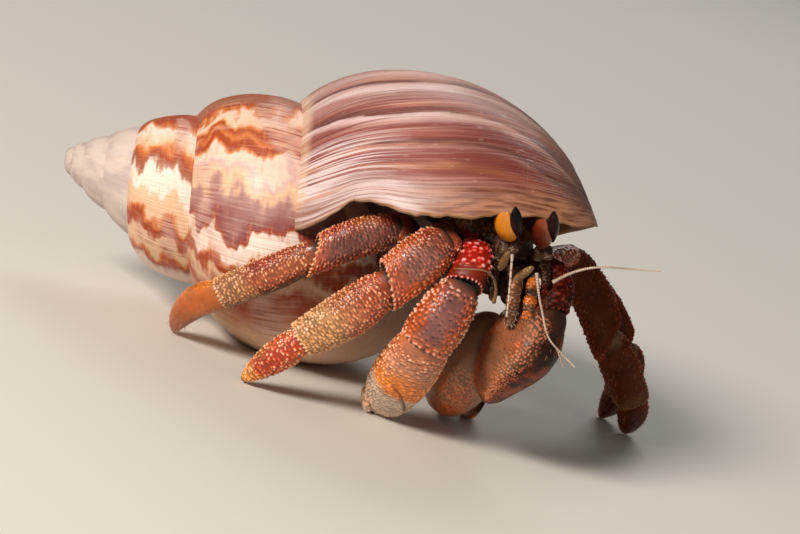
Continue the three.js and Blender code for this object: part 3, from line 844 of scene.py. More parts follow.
# The same with a skin across the far rim, a rounded knee, and a pointed foot.
CLOSED = SEGMENT[:13] + [(1.015, 0.92), (1.035, 0.74), (1.05, 0.35), (1.05, 0)]
KNEE = SEGMENT[:10] + [(0.88, 1.05), (0.96, 1.0), (1.02, 0.86), (1.06, 0.6), (1.08, 0.3), (1.08, 0)]
FOOT = [(-0.03, 0), (-0.06, 0.4), (-0.045, 0.66), (0.0, 0.82), (0.06, 0.94), (0.15, 1.0), (0.3, 1.0), (0.5, 0.96),
        (0.7, 0.86), (0.85, 0.70), (0.95, 0.48), (0.99, 0.26), (1.0, 0)]
PALM = [(-0.04, 0), (-0.07, 0.5), (-0.05, 0.78), (0.0, 0.9), (0.06, 0.98), (0.15, 1.0), (0.3, 1.0), (0.5, 1.0),
        (0.7, 0.99), (0.85, 0.93), (0.94, 0.78), (0.99, 0.5), (1.0, 0)]
ROUND = [(0.0, 0), (0.0, 0.3), (0.02, 0.6), (0.06, 0.82), (0.14, 0.96), (0.3, 1.0), (0.5, 1.0), (0.7, 1.0),
         (0.86, 0.96), (0.94, 0.82), (0.98, 0.6), (1.0, 0.3), (1.0, 0)]


def even_rows(outline, length, width, gap):
    """The outline's smooth curve, read at an even distance along itself: places, shares, distances."""
    knots = np.asarray(outline, float)
    t = np.linspace(0, 1, len(knots))
    curve = smooth_line(np.column_stack([t, knots]), np.linspace(0, 1, 1200))
    run = np.concatenate([[0], np.cumsum(np.hypot(np.diff(curve[:, 0]) * length, np.diff(curve[:, 1]) * width))])
    at = np.linspace(0, run[-1], max(int(run[-1] / gap), 24))
    shares = np.maximum(np.interp(at, run, curve[:, 1]), 0)
    shares[[0, -1]] = 0
    return np.interp(at, run, curve[:, 0]), shares, at


LOOSENESS = 0.6  # how far a granule strays from its lattice, as a share of the pitch
POINT_AHEAD = 0.52  # where a granule's dark point lies, in pitches ahead of it


def nearest_granule(along, around, girth, pitch, count, seed):
    """Where each place lies from its nearest granule: distance, how far ahead of it, distance to its dark
    point, and its lot.

    Granules sit on staggered rows a pitch apart with count places round each, moved by a hashed amount.
    """
    best = np.full(along.shape, 1e9)
    spot, ahead, lot = best.copy(), np.zeros(along.shape), np.zeros(along.shape)
    row = np.floor(along / pitch)
    for di in (-1, 0, 1):
        i = row + di
        stagger = 0.5 * np.mod(i, 2)
        column = np.floor(around * count - stagger)
        for dj in (-1, 0, 1):
            j = column + dj
            key = np.mod(j, count)
            here_a = (i + 0.5 + LOOSENESS * (hashed(i, key, seed) - 0.5)) * pitch
            here_v = (j + 0.5 + stagger + LOOSENESS * (hashed(i, key, seed + 1) - 0.5)) / count
            side = (around - here_v) * girth
            away = np.hypot(along - here_a, side)
            closer = away < best
            best = np.where(closer, away, best)
            spot = np.where(closer, np.hypot(along - here_a - POINT_AHEAD * pitch, side), spot)
            ahead = np.where(closer, along - here_a, ahead)
            lot = np.where(closer, hashed(i, key, seed + 2), lot)
    return best, ahead, spot, lot


def nearness(centre, half, around):
    """1 at a place round the piece, falling to 0 at half on either side of it, counted past the join."""
    return bump(0, half, np.mod(around - centre + 0.5, 1) - 0.5)


BEAD_HEIGHT = 0.22  # how far the beads round a far rim stand out, in mm


def article(sheets, form, outline=SEGMENT, pitch=0.5, height=0.16, gap=0.1, box=0.86, slant=0.0, bare=0.75,
            bare_half=0.3, margins=0.6, edges=(0, 0.5), beads=0, smooth_from=1.1, seed=1, wide=1.0, spot=0.15,
            calm=0.0, calm_half=0.15, relief=None, shape=None):
    """One piece of cuticle: ovals carried along the form's line, widened by the outline, with granules.

    pitch and height are the granules' spacing and how far they stand out, gap is the mesh's, and box
    below 1 squares the oval. wide widens the piece and slant tilts its far rim. bare clears the granules
    round that place, calm lowers them along the outer face, margins makes those along the edges larger,
    beads sets that many round the far rim, smooth_from clears the far end, and spot is the size of the
    dark points. relief(place, around) adds height and shape(place, around) widens. Sizes are in mm.
    """
    # the ovals' rows, with squared sides, a tilted far rim and faint lumps
    breadth = form.widths(np.array([0.5]))
    place, share, run = even_rows(outline, form.length, float(np.mean(breadth)) * wide, gap * MM)
    half_b, half_t = form.widths(place)
    girth = TURN * np.sqrt((half_b**2 + half_t**2) / 2) * np.maximum(share, 0.05) * wide
    columns = int(girth.max() / (gap * MM))
    around = (np.arange(columns) / columns)[None] + 0 * place[:, None]
    theta = TURN * around
    cosine = np.sign(np.cos(theta)) * np.abs(np.cos(theta)) ** box
    sine = np.sign(np.sin(theta)) * np.abs(np.sin(theta)) ** box
    along = place[:, None] + slant * cosine * step(0.35, 1.0, place)[:, None] * (share[:, None] > 0.02)
    radial = share[:, None] * wide * (1 if shape is None else shape(place[:, None], around))
    lump = 1 + 0.02 * noise(run[:, None] / (2.2 * MM), around * 5, seed + 9, 5)
    points = (form.middle(along) + form.broad * (half_b[:, None] * radial * cosine * lump)[..., None]
              + form.thin * (half_t[:, None] * radial * sine * lump)[..., None])
    normal = outward(points)
    normal *= np.where(np.sum(normal * (points - form.middle(along)), -1, keepdims=True) < 0, -1, 1)
    run_mm = run[:, None] / MM + 0 * around
    # where granules stand: on the body, but not on the neck, in the cup or over the bare strip
    cup = (np.arange(len(place)) > np.argmax(place))[:, None] & (outline[-1][0] < 0.98)
    body = step(-0.02, 0.04, place)[:, None] * step(1.07, 1.03, place)[:, None] * (share[:, None] > 0.5) * ~cup
    covered = body * (1 - nearness(bare, bare_half, around))
    covered = covered * (1 - step(smooth_from - 0.04, smooth_from, place)[:, None])
    # the granules are domes that lean ahead, larger along the edges and lower on the outer face
    count = max(int(girth.max() / MM / pitch), 5)
    away, ahead, to_spot, lot = nearest_granule(run_mm, around, girth[:, None] / MM, pitch, count, seed)
    reach = pitch * (0.34 + 0.20 * lot)
    dome = np.clip(1 - (away / reach) ** 2, 0, 1) * (lot > 0.1) * np.clip(0.95 + 0.45 * ahead / reach, 0, 1.4)
    edge = np.max([nearness(at, 0.09, around) for at in edges], axis=0)
    between_ends = (step(0.02, 0.2, place) * step(1.0, 0.82, place))[:, None]
    face = 1 - calm * nearness(0.25, calm_half, around) * between_ends
    rise = dome * height * (0.45 + 0.55 * lot) * (1 + margins * edge) * covered * face
    if beads:
        rim = bump(1.0, 0.035, place)[:, None] * (share[:, None] > 0.8) * ~cup
        rise = np.maximum(rise, BEAD_HEIGHT * rim * (0.5 + 0.5 * np.cos(TURN * beads * around)) *
                          (1 - 0.5 * nearness(bare, bare_half, around)))
    carved = 0 if relief is None else relief(place[:, None], around) * ~cup
    pit = -0.35 * height * step(1.6 * spot, 0, to_spot) * covered * (lot > 0.25)
    points = points + normal * ((rise + pit + carved) * MM)[..., None]
    points[..., 2] = np.maximum(points[..., 2], 0)
    # what the colours read: dark points, with the deepest parts of the relief darkened as painted shade, and soft
    # skin on the neck and in the cup
    point = np.maximum(step(spot, 0.55 * spot, to_spot) * covered * (lot > 0.2), 0.8 * step(-0.16, -0.42, carved))
    neck = step(0.76, 0.60, share)[:, None] * (place[:, None] < 0.05) * (outline[1][0] < outline[0][0])
    # the cuticle colours this soft skin dark, as painted shade in the joint
    soft = np.maximum(neck, cup * 1.0) + 0 * around
    place = place[:, None] + 0 * around
    sheets.add(points, ring_map(place, around), height=np.clip(rise / max(height, 0.01), 0, 1.3), point=point,
               lot=lot, soft=soft)
    return points, normal, place, around


# Which way a limb's outer face looks: the far legs' to the left, the claws' and mouth's towards the viewer.
LEFT, TOWARDS, UPWARD = unit([0.67, 0.74, 0]), unit([0.0, -1.0, 0.25]), np.array([0.0, 0, 1])
skins = {}


def skin(name, material, forms, slot="limb"):
    """One piece of cuticle, or several in one object, in place of the CAD node of that name."""
    sheets = Sheets()
    for form, look in forms:
        skins[name] = article(sheets, form, **look)
    sheets.build(f"{name}_skin", material, slot, [name])


def measured_skin(name, material, outside, slot, upside_down=False, **look):
    """A piece of cuticle on the form measured along the node's own longest direction."""
    skin(name, material, [(lengthwise(name, outside, upside_down), look)], slot)


class Limb:
    """A limb's pieces, with the places where they meet measured on the frame."""

    def __init__(self, prefix, parts, root, outside):
        clouds = [cad_points(node) for node in [root, *(f"{prefix}_{part}" for part in parts)]]
        ends = [meeting(clouds[k], clouds[k + 1]) for k in range(len(parts))]
        ends.append(tip_from(clouds[-1], ends[-1]))
        self.prefix = prefix
        self.forms = {part: Form(f"{prefix}_{part}", ends[k], ends[k + 1], outside) for k, part in enumerate(parts)}

    def build(self, part, material, **look):
        """Adds one part's cuticle."""
        skin(f"{self.prefix}_{part}", material, [(self.forms[part], look)])


# ---------------------------------------------------------------- walking legs

LEG_PARTS = ["coxa", "merus", "carpus", "propodus", "dactylus"]
legs = {name: Limb(f"leg_{name}", LEG_PARTS, "thorax", -LEFT if "right" in name else LEFT)
        for name in ("right_2", "right_3", "left_2", "left_3")}

MERUS = cuticle("leg_merus", Upper=(0.343, 0.049, 0.02), Outer=(0.396, 0.07, 0.035), Lower=(0.396, 0.042, 0.015),
                Inner=(0.211, 0.042, 0.018), Far_End=(0.475, 0.105, 0.05), Far_Start=0.8)
SECOND = {
    "carpus": cuticle("second_carpus", Upper=(0.418, 0.054, 0.015), Outer=(0.34, 0.15, 0.125),
                      Lower=(0.607, 0.079, 0.012), Inner=(0.304, 0.065, 0.015), Far_End=(0.658, 0.094, 0.012),
                      Far_Start=0.72, Far_Share=0.6, Near_End=(0.38, 0.086, 0.04), Near_Stop=0.2, Near_Share=0.7,
                      Warm=(0.632, 0.136, 0.015)),
    "propodus": cuticle("second_propodus", Upper=(0.449, 0.067, 0.023), Outer=(0.594, 0.19, 0.084), Outer_Share=0.85,
                        Lower=(0.581, 0.085, 0.031), Inner=(0.317, 0.095, 0.031), Far_End=(0.66, 0.34, 0.13),
                        Far_Start=0.52, Far_Share=0.75, Near_End=(0.475, 0.076, 0.027), Near_Stop=0.3, Near_Share=0.8,
                        Top=(0.93, 0.546, 0.339), Top_Share=0.7),
    "dactylus": cuticle("second_dactylus", Upper=(0.658, 0.113, 0.028), Outer=(0.582, 0.049, 0.014), Outer_Half=0.16,
                        Lower=(0.696, 0.138, 0.034), Inner=(0.443, 0.097, 0.022), Far_End=(0.72, 0.27, 0.04),
                        Far_Share=0.9, Far_Start=0.76, Top=(0.93, 0.608, 0.381), Top_Share=0.8, Point_Share=0.1),
}
THIRD = {
    "carpus": cuticle("third_carpus", Upper=(0.386, 0.049, 0.02), Outer=(0.26, 0.105, 0.085), Outer_Half=0.13,
                      Lower=(0.653, 0.074, 0.023), Inner=(0.238, 0.041, 0.012), Far_End=(0.743, 0.107, 0.035),
                      Far_Start=0.85, Far_Share=0.5, Top=(0.93, 0.546, 0.307)),
    "propodus": cuticle("third_propodus", Upper=(0.339, 0.043, 0.014), Outer=(0.532, 0.137, 0.052), Outer_Half=0.08,
                        Outer_Share=0.6, Lower=(0.157, 0.051, 0.012), Inner=(0.121, 0.034, 0.007),
                        Far_End=(0.46, 0.2, 0.08), Far_Share=0.8, Far_Start=0.66, Top=(0.88, 0.60, 0.37),
                        Top_Share=0.65, Warm_Share=0.25, Point_Share=0.3),
    "dactylus": cuticle("third_dactylus", coat=0.4, Upper=(0.759, 0.189, 0.022), Outer=(0.713, 0.142, 0.016),
                        Lower=(0.414, 0.066, 0.011), Inner=(0.46, 0.113, 0.016), Far_End=(0.483, 0.095, 0.016),
                        Far_Share=0.7, Far_Start=0.78, Point_Share=0.1, Top_Share=0.25, Warm=(0.759, 0.236, 0.027)),
}
# The far legs' colours: their own red-brown, darkened as painted shade.
FAR_LEGS_PAINTED_SHADE = {"Upper": (0.13, 0.016, 0.006), "Outer": (0.10, 0.020, 0.008), "Lower": (0.18, 0.026, 0.006),
          "Inner": (0.14, 0.030, 0.012), "Top": (0.36, 0.09, 0.04), "Warm": (0.22, 0.038, 0.006), "Top_Share": 0.4}
FAR = {
    "carpus": cuticle("left_carpus", coat=0.0, shine=0.05, **FAR_LEGS_PAINTED_SHADE, Far_End=(0.15, 0.022, 0.006), Far_Start=0.9),
    "propodus": cuticle("left_propodus", coat=0.0, shine=0.05, **{**FAR_LEGS_PAINTED_SHADE, "Outer": (0.20, 0.05, 0.03)},
                        Far_End=(0.30, 0.15, 0.08), Far_Start=0.85, Near_End=(0.5, 0.3, 0.2), Near_Stop=0.02,
                        Near_Share=0.6),
    "dactylus": cuticle("left_dactylus", coat=0.0, shine=0.05, **{**FAR_LEGS_PAINTED_SHADE, "Upper": (0.24, 0.06, 0.03)},
                        Far_End=(0.40, 0.18, 0.12), Far_Start=0.8),
}

# What the second and the third pair of legs have of their own.
OWN = {"2": {"carpus": dict(pitch=0.46, height=0.17), "propodus": dict(pitch=0.43, bare=0.75, bare_half=0.26),
             "dactylus": dict(height=0.17)},
       "3": {"carpus": dict(pitch=0.42, height=0.15), "propodus": dict(pitch=0.40, bare=0.62, bare_half=0.34),
             "dactylus": dict(height=0.05, bare=0.25, bare_half=0.32)}}
LEFT_MESH, RIGHT_MESH = dict(gap=0.13, bare=0.75, bare_half=0.17), dict(gap=0.088)
for name, leg in legs.items():
    left, own = "left" in name, OWN[name[-1]]
    colours = FAR if left else {"2": SECOND, "3": THIRD}[name[-1]]
    mesh = LEFT_MESH if left else RIGHT_MESH
    leg.build("coxa", MERUS, pitch=0.6, height=0.06, gap=0.2)
    leg.build("merus", MERUS, outline=KNEE, pitch=0.48, height=0.17, **mesh)
    leg.build("carpus", colours["carpus"], outline=CLOSED if left else SEGMENT, beads=26, slant=-0.14, seed=3,
              margins=0.8, calm=0.55, wide=1.10 if left else 1.0, **own["carpus"], **mesh)
    leg.build("propodus", colours["propodus"], height=0.15, beads=28, seed=5, margins=0.8,
              wide=1.12 if left else 1.0, **{**own["propodus"], **mesh})
    leg.build("dactylus", colours["dactylus"], outline=FOOT, pitch=0.46, seed=7, **{**mesh, **own["dactylus"]})


# ---------------------------------------------------------------- claws

LONG_NECK = [(-0.3, 0), (-0.36, 0.5), (-0.3, 0.8), (-0.15, 0.92)] + SEGMENT[4:]
CLAW_PARTS = ["ischium", "merus", "carpus", "palm"]
claws = {side: Limb(f"claw_{side}", CLAW_PARTS, "thorax", TOWARDS) for side in ("right", "left")}


def cleft(place, around):
    """The cut between the claw's two fingers: a groove slanting down its outer face to the tip."""
    return -0.40 * step(0.36, 0.46, place) * nearness(0.20 + 0.45 * (place - 0.35), 0.020, around)


RED_MERUS = cuticle("claw_merus", coat=0.06, shine=0.15, Upper=(0.345, 0.018, 0.01), Outer=(0.483, 0.014, 0.007),
                    Lower=(0.391, 0.027, 0.012), Inner=(0.23, 0.027, 0.016), Outer_Half=0.2,
                    Far_End=(0.24, 0.022, 0.004), Far_Start=0.76, Far_Share=0.9, Warm_Share=0.15,
                    Warm=(0.575, 0.063, 0.016), Top=(0.84, 0.468, 0.448))
CLAW_CARPUS = cuticle("claw_carpus", Upper=(0.46, 0.05, 0.017), Outer=(0.27, 0.125, 0.115), Outer_Half=0.10,
                      Lower=(0.607, 0.117, 0.02), Inner=(0.316, 0.09, 0.034), Far_End=(0.658, 0.126, 0.024),
                      Far_Share=0.6, Far_Start=0.84, Near_End=(0.304, 0.09, 0.058), Near_Stop=0.14, Near_Share=0.8,
                      Warm=(0.658, 0.144, 0.02))
# The right palm: orange, its ground between the granules lightened all over (Hollow) as painted light, since it faces
# down.
CLAW_PALM = cuticle("claw_palm", Upper=(0.60, 0.19, 0.07), Outer=(0.58, 0.27, 0.17), Outer_Half=0.2, Outer_Share=0.85,
                    Lower=(0.72, 0.150, 0.03), Inner=(0.45, 0.158, 0.05), Far_End=(0.95, 0.25, 0.018), Far_Share=0.9,
                    Far_Start=0.26, Near_End=(0.50, 0.13, 0.045), Near_Stop=0.14, Near_Share=0.6,
                    Top=(0.93, 0.72, 0.50), Top_Share=0.7, Warm=(0.80, 0.16, 0.02), Tip=(0.66, 0.50, 0.38),
                    Tip_Start=0.51, Tip_Share=0.95, Tip_Lean=0.35, Hollow=0.30)
CLAW_TIP = cuticle("claw_tip", Upper=(0.72, 0.46, 0.30), Outer=(0.76, 0.50, 0.33), Lower=(0.70, 0.42, 0.26),
                   Inner=(0.48, 0.28, 0.17), Far_End=(0.84, 0.58, 0.42), Far_Start=0.4, Far_Share=0.8,
                   Point_Share=0.4, Hollow=0.2)
# The left claw's ischium and merus: dark red cuticle, darkened further as painted shade.
LEFT_MERUS_PAINTED_SHADE = cuticle("left_claw_merus", coat=0.0, shine=0.06, Upper=(0.06, 0.006, 0.003), Outer=(0.07, 0.005, 0.002),
                     Lower=(0.05, 0.006, 0.003), Inner=(0.05, 0.010, 0.006), Far_End=(0.05, 0.016, 0.009),
                     Far_Start=0.8, Warm=(0.12, 0.012, 0.004), Top=(0.24, 0.04, 0.02), Top_Share=0.5)
RIGHT_CLAW = claws["right"]
RIGHT_CLAW.build("ischium", RED_MERUS, pitch=0.7, height=0.1, gap=0.16)
RIGHT_CLAW.build("merus", RED_MERUS, outline=LONG_NECK, pitch=0.72, height=0.20, gap=0.09, beads=24, seed=11,
                 smooth_from=0.80, spot=0.15)
RIGHT_CLAW.build("carpus", CLAW_CARPUS, pitch=0.58, height=0.15, gap=0.088, beads=22, seed=12, margins=1.4,
                 spot=0.17, calm=0.75, calm_half=0.19)
RIGHT_CLAW.build("palm", CLAW_PALM, outline=PALM, pitch=0.50, height=0.13, gap=0.086, seed=13, margins=0.9, spot=0.15,
                 calm=0.35, calm_half=0.2, relief=cleft)
measured_skin("claw_right_finger", CLAW_TIP, TOWARDS, "limb", outline=ROUND, pitch=0.55, height=0.18, gap=0.1,
              seed=15, wide=1.3)

# The left claw's wrist: its nearly black lower side is painted shade, and its tan upper faces are lightened as
# painted light.
LEFT_CARPUS = cuticle("left_claw_carpus", coat=0.04, shine=0.2, Upper=(0.4, 0.18, 0.095), Outer=(0.36, 0.135, 0.06),
                      Outer_Half=0.08, Outer_Share=0.7, Lower=(0.035, 0.010, 0.006), Inner=(0.12, 0.04, 0.02),
                      Far_End=(0.52, 0.09, 0.02), Far_Start=0.74, Far_Share=0.3, Top=(0.52, 0.17, 0.09),
                      Top_Share=0.5, Warm=(0.56, 0.09, 0.015), Warm_Share=0.75, Blotch_Size=220.0, Point_Share=0.5,
                      Near_End=(0.05, 0.02, 0.012), Near_Stop=0.08, Near_Share=0.85)
# The left claw's palm and finger: tan with orange blotches, lightened as painted light where the shell shades them.
LEFT_PALM = cuticle("left_claw_palm", coat=0.08, Upper=(0.70, 0.38, 0.21), Outer=(0.66, 0.38, 0.22), Outer_Half=0.2,
                    Lower=(0.48, 0.20, 0.09), Inner=(0.42, 0.20, 0.10), Far_End=(0.50, 0.16, 0.06),
                    Near_End=(0.52, 0.24, 0.13), Near_Stop=0.16, Near_Share=0.5, Warm=(0.72, 0.13, 0.018),
                    Warm_Share=0.9, Blotch_Size=160.0, Top=(0.6, 0.36, 0.24), Top_Share=0.0, Point_Share=0.3)
DOME = [(-0.10, 0), (-0.095, 0.25), (-0.06, 0.55), (0.01, 0.80), (0.12, 0.96), (0.28, 1.02), (0.5, 1.0), (0.7, 0.98),
        (0.86, 0.90), (0.95, 0.72), (0.99, 0.45), (1.0, 0)]
# The left claw's wrist widens quickly and then narrows to its far end.
WEDGE = [(-0.10, 0), (-0.095, 0.3), (-0.06, 0.62), (0.0, 0.90), (0.1, 1.12), (0.22, 1.20), (0.36, 1.12), (0.50, 0.99),
         (0.64, 0.84), (0.78, 0.68), (0.90, 0.52), (0.97, 0.32), (1.0, 0.14), (1.0, 0)]
LEFT_CLAW = claws["left"]
LEFT_CLAW.forms["carpus"] = nudged(LEFT_CLAW.forms["carpus"], (-0.2, 0, 0.1), (-1.2, -1.5, -4.7),
                                   unit([-0.95, -1.0, 0.2]))
LEFT_CLAW.forms["palm"] = nudged(LEFT_CLAW.forms["palm"], (-3.4, 0.6, 1.2), (-1.2, 0, 0.9))


def flat_face(place, around):
    """Draws in the side that faces the mouth, so that it is flat up to its toothed ridge, and slants the
    outer side in towards the far end."""
    ridge = 0.07 * nearness(0.35, 0.06, around) - 0.10 * nearness(0.16, 0.2, around)
    slant = step(0.40, 1.0, place) * (0.30 * nearness(0.5, 0.30, around) - 0.10 * nearness(0.0, 0.25, around))
    return 1 + ridge - slant


LEFT_CLAW.build("ischium", LEFT_MERUS_PAINTED_SHADE, pitch=0.7, height=0.1, gap=0.2)
LEFT_CLAW.build("merus", LEFT_MERUS_PAINTED_SHADE, pitch=0.6, height=0.18, gap=0.12, beads=20, seed=21)
LEFT_CLAW.build("carpus", LEFT_CARPUS, outline=WEDGE, pitch=0.40, height=0.09, gap=0.088, seed=22, margins=3.4,
                edges=(0.35,), bare=0.60, bare_half=0.30, calm=0.97, calm_half=0.19, shape=flat_face)
LEFT_CLAW.build("palm", LEFT_PALM, outline=DOME, bare=0.25, bare_half=0.5, pitch=0.45, height=0.03, gap=0.11, seed=23,
                wide=1.25)
skin("claw_left_finger", LEFT_PALM,
     [(nudged(lengthwise("claw_left_finger", TOWARDS), (0, -1.4, 0.5), (0, 0, 0)),
       dict(outline=FOOT, pitch=0.6, height=0.1, gap=0.14, seed=25, wide=1.25))])


# ---------------------------------------------------------------- shield, chest and mouth

def shield_grooves(place, around):
    """The neck groove across the shield, as a U, with a shallow line down each side."""
    across = np.mod(around, 1) - 0.25
    neck = bump(0.46 + 1.6 * across**2, 0.05, place)
    sides = bump(0.11, 0.012, np.abs(across)) * step(0.1, 0.3, place)
    return (-0.28 * neck - 0.14 * sides) * step(0.25, 0.15, np.abs(across))


SHIELD_SKIN = cuticle("shield", shine=0.25, Hollow=0.3, Upper=(0.10, 0.032, 0.018), Outer=(0.16, 0.055, 0.032),
                      Lower=(0.10, 0.03, 0.018), Inner=(0.05, 0.02, 0.012), Far_End=(0.035, 0.012, 0.007),
                      Far_Start=0.7, Far_Share=0.9, Point_Share=0.5, Top=(0.3, 0.14, 0.09))
DARK_SKIN = cuticle("chest", coat=0.0, shine=0.12, Upper=(0.025, 0.010, 0.006), Outer=(0.03, 0.012, 0.007),
                    Lower=(0.035, 0.012, 0.006), Inner=(0.025, 0.010, 0.006), Far_End=(0.05, 0.016, 0.008),
                    Warm=(0.06, 0.016, 0.005), Top_Share=0.3, Top=(0.2, 0.10, 0.06))
measured_skin("carapace", SHIELD_SKIN, UPWARD, "shield", outline=ROUND, pitch=0.5, height=0.03, gap=0.16,
              relief=shield_grooves)
measured_skin("thorax", DARK_SKIN, UPWARD, "shield", outline=ROUND, pitch=0.6, height=0.05, gap=0.2)
measured_skin("mouthparts", DARK_SKIN, TOWARDS, "shield", outline=ROUND, pitch=0.5, height=0.06, gap=0.15)


# ---------------------------------------------------------------- eyes

STALK = [(0.0, 0), (0.0, 0.4), (0.03, 0.66), (0.12, 0.90), (0.28, 1.08), (0.45, 1.14), (0.62, 1.04), (0.78, 0.80),
         (0.90, 0.50), (0.97, 0.26), (1.0, 0.1), (1.0, 0)]
EYE_ORANGE = cuticle("eyestalk_orange", coat=0.3, Hollow=0.45, Upper=(0.66, 0.2, 0.012), Outer=(0.74, 0.25, 0.014),
                     Outer_Half=0.24, Lower=(0.60, 0.26, 0.03), Inner=(0.10, 0.03, 0.01), Far_End=(0.66, 0.24, 0.06),
                     Far_Start=0.8, Near_End=(0.20, 0.04, 0.01), Near_Stop=0.14, Near_Share=0.9,
                     Warm=(0.62, 0.15, 0.008), Top_Share=0.0, Point_Share=0.0)
EYE_RED = cuticle("eyestalk_red", coat=0.3, Hollow=0.12, Upper=(0.18, 0.022, 0.008), Outer=(0.2, 0.016, 0.004),
                  Outer_Half=0.24, Lower=(0.50, 0.16, 0.05), Inner=(0.10, 0.03, 0.01), Far_End=(0.50, 0.12, 0.06),
                  Far_Start=0.8, Near_End=(0.30, 0.13, 0.05), Near_Stop=0.2, Near_Share=0.7, Warm=(0.50, 0.10, 0.015),
                  Top_Share=0.0, Point_Share=0.0)


def cornea_material():
    """A black, wet eye with a brown depth and fine facets."""
    material, tree, shader = new_material("cornea", 0.16, Coat_Weight=0.10, Coat_Roughness=0.03,
                                          Specular_IOR_Level=0.05)
    place = put(tree, "TexCoord").outputs["Object"]
    depth = ease(tree, grain(tree, place, 500.0, 2.0), 0.4, 0.7)
    colour = mixed(tree, depth, (0.006, 0.004, 0.005), (0.035, 0.010, 0.010))
    tree.links.new(colour, shader.inputs["Base Color"])
    facets = put(tree, "TexVoronoi")
    tree.links.new(place, facets.inputs["Vector"])
    facets.inputs["Scale"].default_value = 9000.0
    bumped(tree, shader, facets.outputs["Distance"], 0.08, 0.01)
    return material


CORNEA = cornea_material()
for side, colour, wide in (("right", EYE_ORANGE, 1.4), ("left", EYE_RED, 1.25)):
    smooth = dict(outline=STALK, height=0.0, gap=0.07, box=1.0)
    measured_skin(f"eyestalk_{side}", colour, TOWARDS, "limb", True, wide=wide, **smooth)
    measured_skin(f"cornea_{side}", CORNEA, TOWARDS, "eye", True, wide=1.06, **smooth)


# ---------------------------------------------------------------- feelers and bristles

FEELER_SLICES, FEELER_POINTS = 26, 6000
FEELER_GAP, FEELER_SIDES = 0.05 * MM, 10


def along_node(node, root):
    """The centre line of a thin node: the middles of its points, taken in slices along its longest
    direction, from the end beside the root node."""
    points = cad_points(node, FEELER_POINTS)
    direction = np.linalg.svd(points - points.mean(0), full_matrices=False)[2][0]
    reach = (points - points.mean(0)) @ direction
    cuts = np.linspace(reach.min(), reach.max(), FEELER_SLICES + 1)
    line = np.array([points[(reach >= a) & (reach <= b)].mean(0) for a, b in zip(cuts[:-1], cuts[1:])])
    beside = cad_points(root).mean(0)
    return line if np.linalg.norm(line[0] - beside) < np.linalg.norm(line[-1] - beside) else line[::-1]


def resample(line, gap):
    """A line's points at an even distance, after rounding its corners."""
    for _ in range(2):
        line = np.concatenate([line[:1], (line[:-2] + 2 * line[1:-1] + line[2:]) / 4, line[-1:]])
    run = np.concatenate([[0], np.cumsum(np.linalg.norm(np.diff(line, axis=0), axis=1))])
    at = np.linspace(0, run[-1], max(int(run[-1] / gap), 8))
    return np.column_stack([np.interp(at, run, line[:, k]) for k in range(3)]), at


def circles(directions, reference, sides):
    """A circle of unit arrows across each direction, set out from its cross product with the reference."""
    one = unit(np.cross(directions, reference))
    two = np.cross(directions, one)
    turn = TURN * np.arange(sides) / sides
    return one, one[:, None] * np.cos(turn)[None, :, None] + two[:, None] * np.sin(turn)[None, :, None]


def feeler(sheets, line, start, end, ring, swell, base=0):
    """A thin round feeler: circles carried along the line, tapering from start to end mm.

    Each ring of the given length stands proud by the share swell at its far edge, and base widens the
    first millimetre.
    """
    line, run = resample(line, FEELER_GAP)
    share = run / run[-1]
    saw = np.mod(run / (ring * MM), 1)
    radius = (start + (end - start) * share) * (1 + swell * (saw - 0.5)) + base * np.exp(-run / (0.5 * MM))
    radius = radius * np.sqrt(np.clip(1 - (1 - np.minimum(run, run[-1] - run) / (0.1 * MM)).clip(0, 1) ** 2, 0, 1))
    across = circles(unit(np.gradient(line, axis=0)), [0.3, 0.2, 0.9], FEELER_SIDES)[1]
    points = line[:, None] + across * (radius * MM)[:, None, None]
    around = np.arange(FEELER_SIDES)[None] / FEELER_SIDES + 0 * run[:, None]
    dark = step(0.30, 0.0, saw)[:, None] + 0 * around
    sheets.add(points, ring_map(share[:, None] + 0 * around, around), height=1 - dark, point=dark, lot=0.5, soft=0.0)


BRISTLE_HALF, BRISTLE_DROOP = 0.026 * MM, 0.25
# One bristle's seven corners: three at its foot, three in the middle and its tip.
BRISTLE_QUADS = np.array([[0, 1, 4, 3], [1, 2, 5, 4], [2, 0, 3, 5]])
BRISTLE_TRIANGLES = np.array([[3, 4, 6], [4, 5, 6], [5, 3, 6]]), np.array([[2, 1, 0]])


def bristles(name, material, roots, directions, lengths, places):
    """Fine hairs as one mesh: each a three-sided spike in two steps, bent a little downwards.

    places spreads their patches over the bake map.
    """
    directions = unit(directions)
    one, circle = circles(directions, [0.21, 0.35, 0.91], 3)
    lengths = (lengths * MM)[:, None]
    droop = np.array([0, 0, -1.0]) * lengths * BRISTLE_DROOP
    middle = roots + directions * lengths * 0.55 + droop * 0.3
    tip = roots + directions * lengths + droop
    points = np.concatenate([roots[:, None] + circle * BRISTLE_HALF, middle[:, None] + circle * 0.6 * BRISTLE_HALF,
                             tip[:, None]], 1)
    first = np.arange(len(roots))[:, None, None] * 7
    faces = (first + BRISTLE_QUADS).reshape(-1, 4).tolist()
    for triangles in BRISTLE_TRIANGLES:
        faces += (first + triangles).reshape(-1, 3).tolist()
    mesh = bpy.data.meshes.new(name)
    mesh.from_pydata(points.reshape(-1, 3).tolist(), [], faces)
    order = np.zeros(len(mesh.loops), np.int32)
    mesh.loops.foreach_get("vertex_index", order)
    hair = order // 7
    corner = points.reshape(-1, 3)[order] - roots[hair]
    patch = np.column_stack([np.sum(corner * one[hair], 1), np.linalg.norm(corner, axis=1)])
    patch = 0.003 * patch / (lengths[hair] + 1e-9)
    mesh.uv_layers.new(name="OFBake").data.foreach_set("uv", (places[hair] + patch).astype(np.float32).ravel())
    mesh.update()
    settle(mesh, material)


